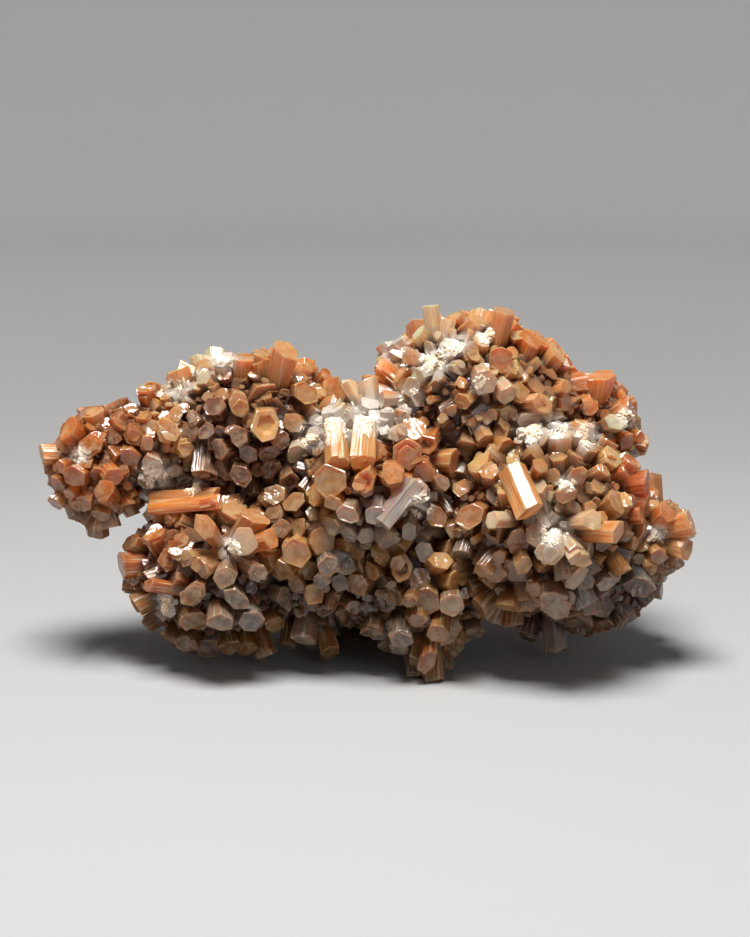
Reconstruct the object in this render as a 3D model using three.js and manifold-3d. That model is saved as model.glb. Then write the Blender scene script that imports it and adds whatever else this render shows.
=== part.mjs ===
// A hand-sized cluster of aragonite, in millimetres, +Z up, standing on its lowest crystal ends.
//
// Aragonite of this habit grows as rosettes: stubby six-sided crystals with flat ends that fan out
// from one point. Hundreds of rosettes have grown into each other, so the cluster is one solid:
// rounded lumps in the middle, rosettes over all of their outside, and some crystals that stand
// out singly. The lowest crystals are cut off level, where the cluster rests.
import * as THREE from "three";
import { ConvexGeometry } from "three/addons/geometries/ConvexGeometry.js";
import { mergeVertices } from "three/addons/utils/BufferGeometryUtils.js";
import Module from "manifold-3d";

const wasm = await Module();
wasm.setup();

// The front is laid out on an upright sheet, as it is seen from the eye point: a place on the sheet
// is carried along its sight line until it meets a lump.
const EYE = new THREE.Vector3(1.8, -596.5, 179.8);
const SHEET_Y = -20;
const NEAREST_Y = -70;
const FARTHEST_Y = 60;
const SIGHT_STEP = 0.5;

// From the layout's own zero to the middle of the finished cluster, across and in depth.
const MIDDLE = [-1, 2.3];

const SIDES = 6; // of a crystal
const CLOSED_SINK = 8; // how far under its lump's surface a closed rosette's crystals meet
const OPEN_SINK = 5; // and where the rosette opens flat, like a star
const OPEN_LEAN = 40; // a rosette whose least lean is this or more opens flat
const TAPER_LENGTH = 20; // a closed rosette's crystal narrows to nothing this far from its tip
const SINGLE_SINK = 4; // how far under the surface a single crystal starts
const SINGLE_ROOT_SHARE = 0.9; // a single crystal's width at its root, as a share of that at its tip
const LENGTH_SPREAD = [0.9, 1.1]; // shares of the rosette's own length and width that its crystals take
const WIDTH_SPREAD = [0.8, 1.15];
const LUMP_OVERSIZE = 1.05; // a lump's corners stand out of its round form by this share
const GOLDEN_ANGLE = Math.PI * (3 - Math.sqrt(5));

const ROOM = 0.92; // how close two crystals may come, as a share of their two half-widths
const CROWDED_SHARE = 0.5; // up to this share of their length, crystals may grow into each other
const OUTER_POINTS = 5; // places along a crystal's free length where its room is measured
const FREE_STEP = 0.05; // step in which the start of the free length is looked for
const LEAST_RISE = 1.1; // how far out of every lump a tip has to stand
const FLOOR_REACH = 400; // side of the block that trims the crystal ends to one level

// Lumps: centre x, y, z and half-width, half-depth, half-height.
const LUMPS = [
  [-74, -4, 55, 9, 11, 12], // left outlier
  [-59, 1, 60, 14, 11, 11], // neck to the outlier
  [-32, 6, 63, 26, 18, 17], // upper left shoulder
  [-6, 6, 56, 18, 18, 14], // saddle beside it
  [-41, -5, 27, 20, 21, 17], // left foot
  [-14, -2, 33, 20, 22, 22], // between the feet
  [2, -4, 51, 22, 24, 21], // middle
  [29, 4, 69, 25, 21, 22], // upper right dome
  [46, -12, 42, 24, 25, 23], // right front bulge
  [59, 12, 57, 13, 15, 15], // right shoulder, at the back
  [71, -9, 37, 12, 10, 10], // right tip
  [12, -8, 26, 21, 18, 17], // lower middle
  [17, -16, 14, 6, 7, 9], // front foot
  [57, 2, 26, 21, 20, 16], // right foot
  [-34, 16, 38, 22, 19, 24], // back left
  [0, 20, 42, 34, 22, 28], // back
  [40, 20, 40, 24, 20, 24], // back right
  [-4, 26, 16, 18, 14, 14], // back foot
];

// Rosettes seen from the front: across and up on the sheet, reach of the crystals, their width,
// how many, and the least and most angle between a crystal and the way that the rosette faces.
const ROSETTES = [
  // left outlier
  [-66, 70, 6, 8.5, 7, 0, 60],
  [-79, 66, 6, 8.5, 7, 0, 60],
  [-66, 63, 6, 8.5, 7, 0, 60],
  [-76, 57, 6, 8.5, 7, 0, 60],
  [-68, 48, 6, 8.5, 7, 0, 60],
  [-78, 46, 6, 8.5, 7, 0, 60],
  // upper left shoulder
  [-50, 78, 6, 7.5, 7, 0, 60],
  [-52, 70, 6, 7.5, 7, 0, 60],
  [-58, 63, 6, 7.5, 7, 0, 60],
  [-42, 83, 6, 8.5, 7, 0, 60],
  [-32, 84, 6, 8.5, 7, 0, 60],
  [-27, 77, 6, 10.5, 7, 0, 60],
  [-13, 80, 6, 8.5, 7, 0, 60],
  [-18, 74, 6, 7.5, 7, 0, 60],
  // hollow on the left
  [-44, 64, 6, 7.5, 7, 0, 60],
  [-32, 60, 6, 7.5, 7, 0, 60],
  [-22, 63, 6, 8.5, 7, 0, 60],
  [-50, 56, 6, 8.5, 7, 0, 60],
  // left foot
  [-37, 35, 12, 8, 7, 45, 80],
  [-57, 32, 6, 8.5, 7, 0, 60],
  [-55, 19, 6, 8.5, 7, 0, 60],
  [-40, 20, 6, 8.5, 7, 0, 60],
  [-24, 24, 6, 8.5, 7, 0, 60],
  [-46, 9, 6, 8.5, 7, 0, 60],
  [-28, 10, 6, 8.5, 7, 0, 60],
  [-33, 48, 6, 8.5, 7, 0, 60],
  [-18, 37, 6, 9.5, 7, 0, 60],
  // middle
  [-9, 69, 12, 8, 7, 45, 80],
  [2, 71, 6, 8.5, 7, 0, 60],
  [-10, 53, 6, 9.5, 7, 0, 60],
  [0, 56, 6, 8.5, 7, 0, 60],
  [11, 76, 6, 7.5, 7, 0, 60],
  [12, 64, 6, 8.5, 7, 0, 60],
  [15, 47, 6, 8.5, 7, 0, 60],
  [27, 45, 6, 8.5, 7, 0, 60],
  [0, 42, 6, 7.5, 7, 0, 60],
  [5, 30, 6, 8.5, 7, 0, 60],
  [-10, 20, 6, 8.5, 7, 0, 60],
  [-8, 30, 6, 8.5, 7, 0, 60],
  [25, 29, 6, 9.5, 7, 0, 60],
  // upper right dome
  [17, 86, 12, 7, 7, 45, 80],
  [7, 88, 6, 8.5, 7, 0, 60],
  [22, 93, 6, 7.5, 7, 0, 60],
  [36, 89, 6, 9.5, 7, 0, 60],
  [45, 88, 6, 8.5, 7, 0, 60],
  [52, 82, 6, 8.5, 7, 0, 60],
  [27, 74, 6, 8.5, 7, 0, 60],
  [40, 73, 6, 8.5, 7, 0, 60],
  // right shoulder
  [61, 77, 6, 9.5, 7, 0, 60],
  [66, 70, 6, 8.5, 7, 0, 60],
  [70, 62, 6, 9.5, 7, 0, 60],
  // right front bulge
  [44, 67, 11, 7, 7, 45, 80],
  [30, 64, 6, 7.5, 7, 0, 60],
  [54, 54, 6, 8.5, 7, 0, 60],
  [60, 60, 6, 8.5, 7, 0, 60],
  [50, 40, 13, 8, 7, 45, 80],
  [36, 40, 6, 8.5, 7, 0, 60],
  [66, 52, 6, 8.5, 7, 0, 60],
  [64, 40, 6, 8.5, 7, 0, 60],
  [78, 40, 6, 8.5, 7, 0, 60],
  // right foot
  [62, 28, 6, 8.5, 7, 0, 60],
  [50, 20, 6, 9.5, 7, 0, 60],
  [36, 22, 6, 9.5, 7, 0, 60],
  [72, 25, 6, 9.5, 7, 0, 60],
  [62, 13, 6, 8.5, 7, 0, 60],
  [50, 12, 6, 8.5, 7, 0, 60],
  [26, 16, 6, 8.5, 7, 0, 60],
  [10, 12, 6, 8.5, 7, 0, 60],
];

// Crystals that stand out singly: across and up on the sheet of the root and of the tip, how far
// the tip stands in front of the root's place, and the width.
const SINGLE_CRYSTALS = [
  [16, 91, 16.3, 101, 0, 5.5], // chimney on top of the dome
  [36, 92, 35, 100.5, 0, 8], // point on top of the dome
  [-57, 47, -39, 49.5, 20, 7], // lying across the left side
  [12, 54, 3, 42, 6, 5.5], // slanting, in the middle
  [38.5, 56, 44, 43, 12, 9], // the broad one on the right bulge
  [40, 43, 33, 43, 6, 5], // short one beside it
  [52, 36, 52.5, 27, 6, 5],
  [55, 41, 67, 42, 4, 8],
  [64, 38, 68.5, 28.5, 3, 5],
  [67, 50, 69, 38, 9, 5.5],
  [25, 42, 25.5, 33.5, 5, 6.5], // the grey one, pointing down
  [-23, 80, -22, 90.5, 0, 8], // tallest of the left shoulder
  [-80, 62, -88.5, 62.5, 0, 6], // farthest left
  [18, 14, 18, -3, 2, 8], // in the front foot
  [-28, 14, -29.5, 2.5, 0, 9], // in the left foot
  [50, 16, 51, 5.5, -12, 8], // in the right foot
  [-10, 14, -11, 5, 6, 5.5],
  [9, 14, 9.5, 6, 5, 7],
];

// Rosettes everywhere else are spread over the lumps by rule, and what is still bare is filled with
// crystals that stand nearly straight out.
const ROSETTE_PLACES = 60; // tried on each lump
const ROSETTE_SPACING = 17;
const SPREAD_REACH = [5, 7];
const SPREAD_COUNT = 7;
const SPREAD_LEAN = 60;
const FILL_PLACES = 160; // tried on each lump
const FILL_REACH = [4, 6];
const FILL_SLANT = 0.7;
const WIDTH_TO_THE_BACK = [8, 13.5]; // crystals get broader from the front to the back

// A repeatable number from 0 to 1 for any pair of numbers.
function chance(a, b) {
  const wave = Math.sin(a * 12.9898 + b * 78.233) * 43758.5453;
  return wave - Math.floor(wave);
}

function between([low, high], share) {
  return low + (high - low) * share;
}

// How far out of a lump a point lies: 1 on its surface, less inside.
function levelIn([x, y, z, a, b, c], p) {
  return Math.hypot((p.x - x) / a, (p.y - y) / b, (p.z - z) / c);
}

function nearestLump(p) {
  return LUMPS.reduce((best, lump) => (levelIn(lump, p) < levelIn(best, p) ? lump : best));
}

function outwards(p) {
  const [x, y, z, a, b, c] = nearestLump(p);
  return new THREE.Vector3((p.x - x) / a ** 2, (p.y - y) / b ** 2, (p.z - z) / c ** 2).normalize();
}

// The point at depth y on the sight line through a place on the sheet.
function onSightLine(across, up, y) {
  const sight = new THREE.Vector3(across, SHEET_Y, up).sub(EYE);
  return sight.multiplyScalar((y - EYE.y) / sight.y).add(EYE);
}

// The first point of a lump on the sight line through a place on the sheet, or, where the line
// passes beside every lump, the place on a lump nearest to it.
function placeSeenAt(across, up) {
  let nearest = null;
  let least = Infinity;
  for (let y = NEAREST_Y; y <= FARTHEST_Y && least > 1; y += SIGHT_STEP) {
    const p = onSightLine(across, up, y);
    const level = levelIn(nearestLump(p), p);
    if (level < least) {
      least = level;
      nearest = p;
    }
  }
  const [x, y, z] = nearestLump(nearest);
  return new THREE.Vector3(x, y, z).lerp(nearest, 1 / least);
}

function solidOf(geometry) {
  geometry.deleteAttribute("normal");
  geometry.deleteAttribute("uv");
  const closed = mergeVertices(geometry);
  return new wasm.Manifold(
    new wasm.Mesh({
      numProp: 3,
      vertProperties: closed.attributes.position.array,
      triVerts: new Uint32Array(closed.index.array),
    }),
  );
}

// A lump has twenty flat faces.
function lumpSolid([x, y, z, a, b, c]) {
  const form = new THREE.IcosahedronGeometry(LUMP_OVERSIZE, 0);
  return solidOf(form.scale(a, b, c).translate(x, y, z));
}

// The corners of a crystal's end.
function corners(middle, axis, radius, turn) {
  const side = new THREE.Vector3(0.3, 0.2, 1).cross(axis).normalize();
  return Array.from({ length: SIDES }, (_, i) => {
    const spoke = side.clone().applyAxisAngle(axis, turn + (2 * Math.PI * i) / SIDES);
    return middle.clone().addScaledVector(spoke, radius);
  });
}

// One six-sided crystal, widest at its flat tip. It narrows to its root's share of the tip's width,
// or to a point where that share is nothing.
function crystalSolid({ root, tip, width, rootShare, turn }) {
  const axis = tip.clone().sub(root).normalize();
  const rootCorners = rootShare ? corners(root, axis, (rootShare * width) / 2, turn) : [root];
  return solidOf(new ConvexGeometry([...rootCorners, ...corners(tip, axis, width / 2, turn)]));
}

// The crystals of one rosette turn about the way it faces by the golden angle, and lean away from
// it by a growing angle.
function rosetteCrystals({ place, reach, width, count, least, most, seed }) {
  const open = least >= OPEN_LEAN;
  const sink = open ? OPEN_SINK : CLOSED_SINK;
  const facing = outwards(place);
  const across = new THREE.Vector3(0.3, 0.2, 1).cross(facing).normalize();
  const up = facing.clone().cross(across);
  const heart = place.clone().addScaledVector(facing, -sink);
  return Array.from({ length: count }, (_, i) => {
    const lean = THREE.MathUtils.degToRad(between([least, most], Math.sqrt((i + 0.5) / count)));
    const round = i * GOLDEN_ANGLE + 2 * Math.PI * chance(seed, 1);
    const direction = facing
      .clone()
      .multiplyScalar(Math.cos(lean))
      .addScaledVector(across, Math.sin(lean) * Math.cos(round))
      .addScaledVector(up, Math.sin(lean) * Math.sin(round));
    const length = (reach + sink) * between(LENGTH_SPREAD, chance(seed, 2 + i));
    const tip = heart.clone().addScaledVector(direction, length);
    return {
      root: open ? heart : tip.clone().addScaledVector(direction, -TAPER_LENGTH),
      tip,
      rootShare: 0,
      width: width * between(WIDTH_SPREAD, chance(seed, 20 + i)),
      turn: Math.PI * chance(seed, 40 + i),
    };
  });
}

function singleCrystal([across, up, tipAcross, tipUp, proud, width], i) {
  const place = placeSeenAt(across, up);
  return {
    root: place.clone().addScaledVector(outwards(place), -SINGLE_SINK),
    tip: onSightLine(tipAcross, tipUp, place.y - proud),
    rootShare: SINGLE_ROOT_SHARE,
    width,
    turn: Math.PI * chance(i, 7),
  };
}

function widthFacing(facing) {
  return between(WIDTH_TO_THE_BACK, (facing.y + 1) / 2);
}

// Places spread evenly over one lump, those inside another lump left out.
function placesOn(lumpIndex, count) {
  const [x, y, z, a, b, c] = LUMPS[lumpIndex];
  return Array.from({ length: count }, (_, i) => {
    const height = 1 - (2 * i + 1) / count;
    const ring = Math.sqrt(1 - height * height);
    const turn = i * GOLDEN_ANGLE;
    return new THREE.Vector3(
      x + a * ring * Math.cos(turn),
      y + b * ring * Math.sin(turn),
      z + c * height,
    );
  }).filter((place) => LUMPS.every((lump, k) => k === lumpIndex || levelIn(lump, place) >= 1));
}

function spreadRosettes(taken) {
  const places = taken.map((rosette) => rosette.place);
  const made = [];
  LUMPS.forEach((_, lumpIndex) => {
    for (const place of placesOn(lumpIndex, ROSETTE_PLACES)) {
      if (places.some((other) => other.distanceTo(place) < ROSETTE_SPACING)) continue;
      const seed = 100 + places.length;
      places.push(place);
      made.push({
        place,
        reach: between(SPREAD_REACH, chance(seed, 5)),
        width: widthFacing(outwards(place)),
        count: SPREAD_COUNT,
        least: 0,
        most: SPREAD_LEAN,
        seed,
      });
    }
  });
  return made;
}

function fillingCrystals() {
  return LUMPS.flatMap((_, lumpIndex) =>
    placesOn(lumpIndex, FILL_PLACES).map((place, i) => {
      const seed = 1000 * (lumpIndex + 1) + i;
      const slant = [1, 2, 3].map((k) => FILL_SLANT * (chance(seed, k) - 0.5));
      const facing = outwards(place);
      const direction = facing.clone().add(new THREE.Vector3(...slant)).normalize();
      const tip = place.clone().addScaledVector(direction, between(FILL_REACH, chance(seed, 4)));
      return {
        root: tip.clone().addScaledVector(direction, -TAPER_LENGTH),
        tip,
        rootShare: 0,
        width: widthFacing(facing),
        turn: Math.PI * chance(seed, 6),
      };
    }),
  );
}

// The middles and half-widths of a crystal where it is clear of the lumps, from there to its tip.
function freeLength({ root, tip, width, rootShare }) {
  const at = (share) => root.clone().lerp(tip, share);
  const bare = (share) => LUMPS.every((lump) => levelIn(lump, at(share)) >= 1);
  let start = 1;
  while (start > CROWDED_SHARE && bare(start)) start -= FREE_STEP;
  return Array.from({ length: OUTER_POINTS }, (_, i) => {
    const share = between([start, 1], i / (OUTER_POINTS - 1));
    return { middle: at(share), half: (width / 2) * between([rootShare, 1], share) };
  });
}

// Neighbours compete for room: a crystal grows only where its free length stays clear of the free
// lengths of those already there, and where its tip stands well out of every lump.
function withRoom(wished) {
  const grown = [];
  for (const crystal of wished) {
    if (LUMPS.some((lump) => levelIn(lump, crystal.tip) < LEAST_RISE)) continue;
    const free = freeLength(crystal);
    const clearOf = (other) =>
      free.every((p) =>
        other.free.every((q) => p.middle.distanceTo(q.middle) > ROOM * (p.half + q.half)),
      );
    if (grown.every(clearOf)) grown.push({ ...crystal, free });
  }
  return grown;
}

const seenRosettes = ROSETTES.map(([across, up, reach, width, count, least, most], seed) => ({
  place: placeSeenAt(across, up),
  reach,
  width,
  count,
  least,
  most,
  seed,
}));
const crystals = withRoom([
  ...SINGLE_CRYSTALS.map(singleCrystal),
  ...[...seenRosettes, ...spreadRosettes(seenRosettes)].flatMap(rosetteCrystals),
  ...fillingCrystals(),
]);

const grown = wasm.Manifold.union([...LUMPS.map(lumpSolid), ...crystals.map(crystalSolid)]);
const belowFloor = solidOf(
  new THREE.BoxGeometry(FLOOR_REACH, FLOOR_REACH, FLOOR_REACH).translate(0, 0, -FLOOR_REACH / 2),
);

// Rounding leaves a speck or two beside the cluster, and only the cluster is kept.
const cluster = grown
  .subtract(belowFloor)
  .decompose()
  .reduce((best, piece) => (piece.volume() > best.volume() ? piece : best));

function geometryOf(solid) {
  const mesh = solid.getMesh();
  return new THREE.BufferGeometry()
    .setAttribute("position", new THREE.BufferAttribute(mesh.vertProperties, 3))
    .setIndex(new THREE.BufferAttribute(mesh.triVerts, 1));
}

const honey = new THREE.MeshStandardMaterial({
  color: 0xc98a5a,
  roughness: 0.35,
  metalness: 0,
  flatShading: true,
});
const clusterMesh = new THREE.Mesh(geometryOf(cluster), honey);
clusterMesh.name = "aragonite_cluster";
clusterMesh.position.set(-MIDDLE[0], -MIDDLE[1], 0);

const part = new THREE.Group();
part.add(clusterMesh);
export default part;
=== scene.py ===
# %% [markdown]
# # A cluster of honey-orange aragonite
#
# Aragonite of this habit grows as rosettes: stubby six-sided crystals with flat ends that fan out
# from one point. Many rosettes have grown into each other, and together they make one hand-sized
# specimen. The CAD model holds its main shape with about 290 plain crystals. This script grows the
# full number on the same plan, joins them into closed skins and gives them the look of cloudy,
# light-filled mineral. Lengths are in millimetres until a mesh is made, and in metres there.

import math

import bpy
import numpy as np
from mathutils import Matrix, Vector


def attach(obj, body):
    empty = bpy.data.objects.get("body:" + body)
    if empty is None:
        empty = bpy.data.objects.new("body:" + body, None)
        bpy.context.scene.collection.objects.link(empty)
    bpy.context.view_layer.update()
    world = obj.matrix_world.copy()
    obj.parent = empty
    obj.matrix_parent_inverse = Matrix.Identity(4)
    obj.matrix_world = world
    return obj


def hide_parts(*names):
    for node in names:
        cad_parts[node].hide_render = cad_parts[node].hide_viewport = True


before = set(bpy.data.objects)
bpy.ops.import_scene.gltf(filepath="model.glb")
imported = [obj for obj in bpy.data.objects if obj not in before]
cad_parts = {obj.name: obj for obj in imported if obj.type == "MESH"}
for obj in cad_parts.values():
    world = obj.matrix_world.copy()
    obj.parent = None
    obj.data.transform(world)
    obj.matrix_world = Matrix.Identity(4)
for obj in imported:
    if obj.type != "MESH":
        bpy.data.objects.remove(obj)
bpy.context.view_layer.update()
NODE = "aragonite_cluster"

# %% [markdown]
# ## The plan of growth
#
# A natural cluster looks random, but it has a plan: a few rounded lumps, and rosettes spread over
# them. Scattering crystals at random would lose that order. So the lumps and the rosettes are
# listed, and a few rules fill in the rest. "Random" values come from a steep sine wave, which
# gives the same cluster every time the script runs.

# %% Repeatable chance, and places on the lumps
MM = 0.001
MIDDLE = np.array([-1.0, 2.3, 0.0])  # from the plan's own zero to the middle of the finished cluster
EYE = np.array([1.8, -596.5, 179.8])  # where the front is laid out from
SHEET_Y = -20.0  # depth of the upright sheet that the front is laid out on
SIGHT_DEPTHS = np.arange(-70.0, 60.0, 0.5)
GOLDEN_ANGLE = math.pi * (3 - math.sqrt(5))
STEEP = (0.3, 0.2, 1.0)  # a direction that no crystal has exactly

# Lumps: centre x, y, z and half-width, half-depth, half-height.
LUMPS = np.array([
    [-74, -4, 55, 9, 11, 12],  # left outlier
    [-59, 1, 60, 14, 11, 11],  # neck to the outlier
    [-32, 6, 63, 26, 18, 17],  # upper left shoulder
    [-6, 6, 56, 18, 18, 14],  # saddle beside it
    [-41, -5, 27, 20, 21, 17],  # left foot
    [-14, -2, 33, 20, 22, 22],  # between the feet
    [2, -4, 51, 22, 24, 21],  # middle
    [29, 4, 69, 25, 21, 22],  # upper right dome
    [46, -12, 42, 24, 25, 23],  # right front bulge
    [59, 12, 57, 13, 15, 15],  # right shoulder, at the back
    [71, -9, 37, 12, 10, 10],  # right tip
    [12, -8, 26, 21, 18, 17],  # lower middle
    [17, -16, 14, 6, 7, 9],  # front foot
    [57, 2, 26, 21, 20, 16],  # right foot
    [-34, 16, 38, 22, 19, 24],  # back left
    [0, 20, 42, 34, 22, 28],  # back
    [40, 20, 40, 24, 20, 24],  # back right
    [-4, 26, 16, 18, 14, 14],  # back foot
], float)


def chance(a, b):
    """A repeatable number from 0 to 1 for a pair of numbers: what is left of a steep sine wave
    after its whole part is taken away. The first is a crystal's seed, and the second only says
    which of its values is drawn."""
    wave = np.sin(np.asarray(a) * 12.9898 + np.asarray(b) * 78.233) * 43758.5453
    return wave - np.floor(wave)


def three_chances(seed):
    """Three repeatable numbers from -0.5 to 0.5 for each seed, as a vector."""
    return np.stack([chance(seed, k) for k in (1, 2, 3)], axis=-1) - 0.5


def between(low, high, share):
    """The value that lies the given share of the way from low to high."""
    return low + (high - low) * share


def smooth(low, high, value):
    """0 up to low, 1 from high on, and an S-shaped rise between them: t * t * (3 - 2 t)."""
    t = np.clip((value - low) / (high - low), 0, 1)
    return t * t * (3 - 2 * t)


def unit(vectors):
    """The vectors, scaled to length 1."""
    return vectors / np.linalg.norm(vectors, axis=-1, keepdims=True)


def square_to(direction):
    """Two directions square to the given one and to each other, by two cross products."""
    side = unit(np.cross(STEEP, direction))
    return side, np.cross(direction, side)


def leaning(facing, lean, around):
    """Directions that lean away from the facing one by one angle, towards another round it:
    cos(lean) * facing + sin(lean) * (cos(around) * side + sin(around) * other)."""
    side, other = square_to(facing)
    return np.cos(lean) * facing + np.sin(lean) * (np.cos(around) * side + np.sin(around) * other)


def levels(points):
    """How far out of each lump each point lies: the length of (point - centre) / half-sizes, which
    is 1 on the lump's surface and less inside. One column for each lump."""
    return np.linalg.norm((points[..., None, :] - LUMPS[:, :3]) / LUMPS[:, 3:], axis=-1)


def outwards(points):
    """The way that the nearest lump's surface faces: (point - centre) / half-sizes squared."""
    lumps = LUMPS[levels(points).argmin(axis=-1)]
    return unit((points - lumps[..., :3]) / lumps[..., 3:] ** 2)


def on_sight_line(across, up, depth):
    """The point at a depth y on the straight line from the eye through a place on the sheet."""
    sight = np.array([across, SHEET_Y, up]) - EYE
    return EYE + sight * ((np.asarray(depth)[..., None] - EYE[1]) / sight[1])


def on_sheet(points):
    """Across and up where the straight line from the eye to each point meets the sheet."""
    sight = points - EYE
    met = EYE + sight * ((SHEET_Y - EYE[1]) / sight[..., 1:2])
    return met[..., [0, 2]]


def place_seen_at(across, up):
    """Where the sight line first meets a lump, or, where it passes beside all of them, the place
    on a lump nearest to it."""
    line = on_sight_line(across, up, SIGHT_DEPTHS)
    level = levels(line)
    least = level.min(axis=1)
    met = np.argmax(least <= 1) if (least <= 1).any() else least.argmin()
    centre = LUMPS[level[met].argmin(), :3]
    return centre + (line[met] - centre) / least[met]


def places_on(lump, count):
    """Places spread evenly over one lump: equal steps of height, each turned on by the golden
    angle. Those inside another lump are left out."""
    i = np.arange(count)
    height = 1 - (2 * i + 1) / count
    ring = np.sqrt(1 - height**2)
    turn = i * GOLDEN_ANGLE
    ball = np.stack([ring * np.cos(turn), ring * np.sin(turn), height], axis=1)
    places = LUMPS[lump, :3] + LUMPS[lump, 3:] * ball
    others = np.delete(levels(places), lump, axis=1)
    return places[others.min(axis=1) >= 1]


print(len(LUMPS), "lumps, and the dome's top is seen at", place_seen_at(22, 93).round(1), "mm")

# %% [markdown]
# ## Rosettes and single crystals
#
# On the real thing no two rosettes face the same way, and the big ones on the front are what one
# remembers of it. They could be modelled one by one. Here each is a row of numbers, and one
# function turns a row into crystals: it sets them round the rosette's axis by the golden angle, as
# seeds sit in a sunflower, and lets them lean out more and more. A rosette that leans from the start
# lies open like a star, and shows the white place where its crystals meet. Every axis is turned a
# little aside, and the low ones turn down, so that one sees flanks there and not only ends.

# %% The rosettes of the front
# Body colours of the crystals, as shares of red, green and blue light that they send back.
PALETTE = {
    "orange": (0.92, 0.28, 0.05),
    "peach": (0.97, 0.52, 0.21),
    "honey": (0.82, 0.40, 0.11),
    "cream": (0.98, 0.79, 0.55),
    "smoke": (0.50, 0.47, 0.44),
    "brown": (0.44, 0.23, 0.11),
    "umber": (0.24, 0.12, 0.08),
    "rust": (0.80, 0.22, 0.07),
    "amber": (0.74, 0.23, 0.045),
}
ORANGE, PEACH, HONEY, CREAM, SMOKE, BROWN, UMBER, RUST, AMBER = range(len(PALETTE))
BY_PLACE = -1  # the colour follows from the crystal's place
STAR = (45, 80)  # least and most lean of a rosette that lies open
DOMED = (0, 62)  # and of one that is closed

# Across and up on the sheet, the crystals' usual width, their colour, and the lean if it isn't DOMED.
ROSETTES = [
    # left outlier
    [-66, 70, 7.5, AMBER],
    [-79, 66, 7.5, AMBER],
    [-66, 62, 7.5, AMBER],
    [-76, 57, 7, AMBER],
    [-68, 48, 7, BROWN],
    [-79, 46, 7, BROWN],
    # upper left shoulder
    [-50, 79, 6.5, PEACH, STAR],
    [-52, 70, 6.5, PEACH],
    [-58, 63, 6.5, ORANGE],
    [-42, 83, 6.5, CREAM],
    [-32, 84, 7.5, ORANGE],
    [-27, 77, 8, PEACH],
    [-13, 80, 7.5, ORANGE],
    [-18, 74, 6.5, PEACH],
    # hollow on the left: its dark crystals are partly their own brown, partly painted shade
    [-44, 64, 5.5, UMBER],
    [-32, 60, 5.5, UMBER],
    [-22, 63, 6.5, UMBER],
    [-50, 57, 6, SMOKE],
    [-24, 50, 6.5, BROWN],
    # left foot
    [-37, 35, 7, PEACH, STAR],
    [-57, 32, 7.5, AMBER],
    [-55, 19, 6.5, HONEY, STAR],
    [-40, 20, 6.5, SMOKE],
    [-26, 22, 6.5, SMOKE],
    [-46, 9, 7, BROWN],
    [-30, 9, 7, HONEY],
    [-38, 12, 7, BROWN],
    [-53, 13, 6.5, BROWN],
    [-20, 13, 7, SMOKE],
    [-46, 46, 5.5, PEACH],
    [-34, 46, 6.5, PEACH],
    [-18, 36, 8, HONEY],
    [-24, 40, 6.5, BROWN],
    # middle
    [-9, 69, 7, CREAM, STAR],
    [2, 71, 7, CREAM, STAR],
    [-10, 53, 7.5, HONEY],
    [0, 56, 6.5, ORANGE],
    [11, 76, 6, ORANGE, STAR],
    [12, 63, 7, ORANGE],
    [14, 46, 7, SMOKE, STAR],
    [27, 45, 7.5, PEACH],
    [-3, 43, 6, SMOKE],
    [4, 32, 7, HONEY],
    [-12, 20, 6.5, BROWN],
    [-6, 27, 6.5, SMOKE],
    [14, 25, 6.5, HONEY],
    [25, 28, 7, HONEY],
    # upper right dome
    [17, 86, 6, CREAM, STAR],
    [7, 88, 6.5, PEACH],
    [24, 93, 6.5, PEACH],
    [36, 89, 7.5, PEACH],
    [45, 88, 7, ORANGE],
    # this amber is partly painted shade, as on the right shoulder
    [52, 82, 7, AMBER],
    [26, 74, 6.5, PEACH, STAR],
    [40, 75, 6.5, PEACH],
    # right shoulder: its amber and brown are partly the crystals' own colour, partly painted shade
    [62, 77, 8, AMBER],
    [66, 70, 6.5, AMBER, STAR],
    [71, 62, 8, BROWN, STAR],
    # right front bulge
    [44, 67, 6, PEACH, STAR],
    [30, 63, 6.5, HONEY],
    [54, 54, 6.5, PEACH],
    [60, 60, 6.5, PEACH],
    [50, 40, 7, CREAM, STAR],
    [36, 38, 6.5, HONEY],
    [67, 52, 6.5, RUST],
    [64, 40, 7, HONEY],
    [78, 39, 7, PEACH, STAR],
    # right foot
    [62, 28, 7, SMOKE],
    [50, 20, 8, SMOKE],
    [38, 22, 7, HONEY],
    [72, 25, 8, SMOKE],
    [62, 13, 7, BROWN],
    [50, 11, 7, SMOKE],
    [41, 13, 7, BROWN],
    [33, 17, 7, HONEY],
    [27, 15, 6.5, HONEY],
    [8, 12, 7, SMOKE],
]

# Kinds of crystal ends.
FLAT, RAISED, RIMMED, HOLLOW, SMALL = range(5)
ANY_END = -1  # the end is left to chance

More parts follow.
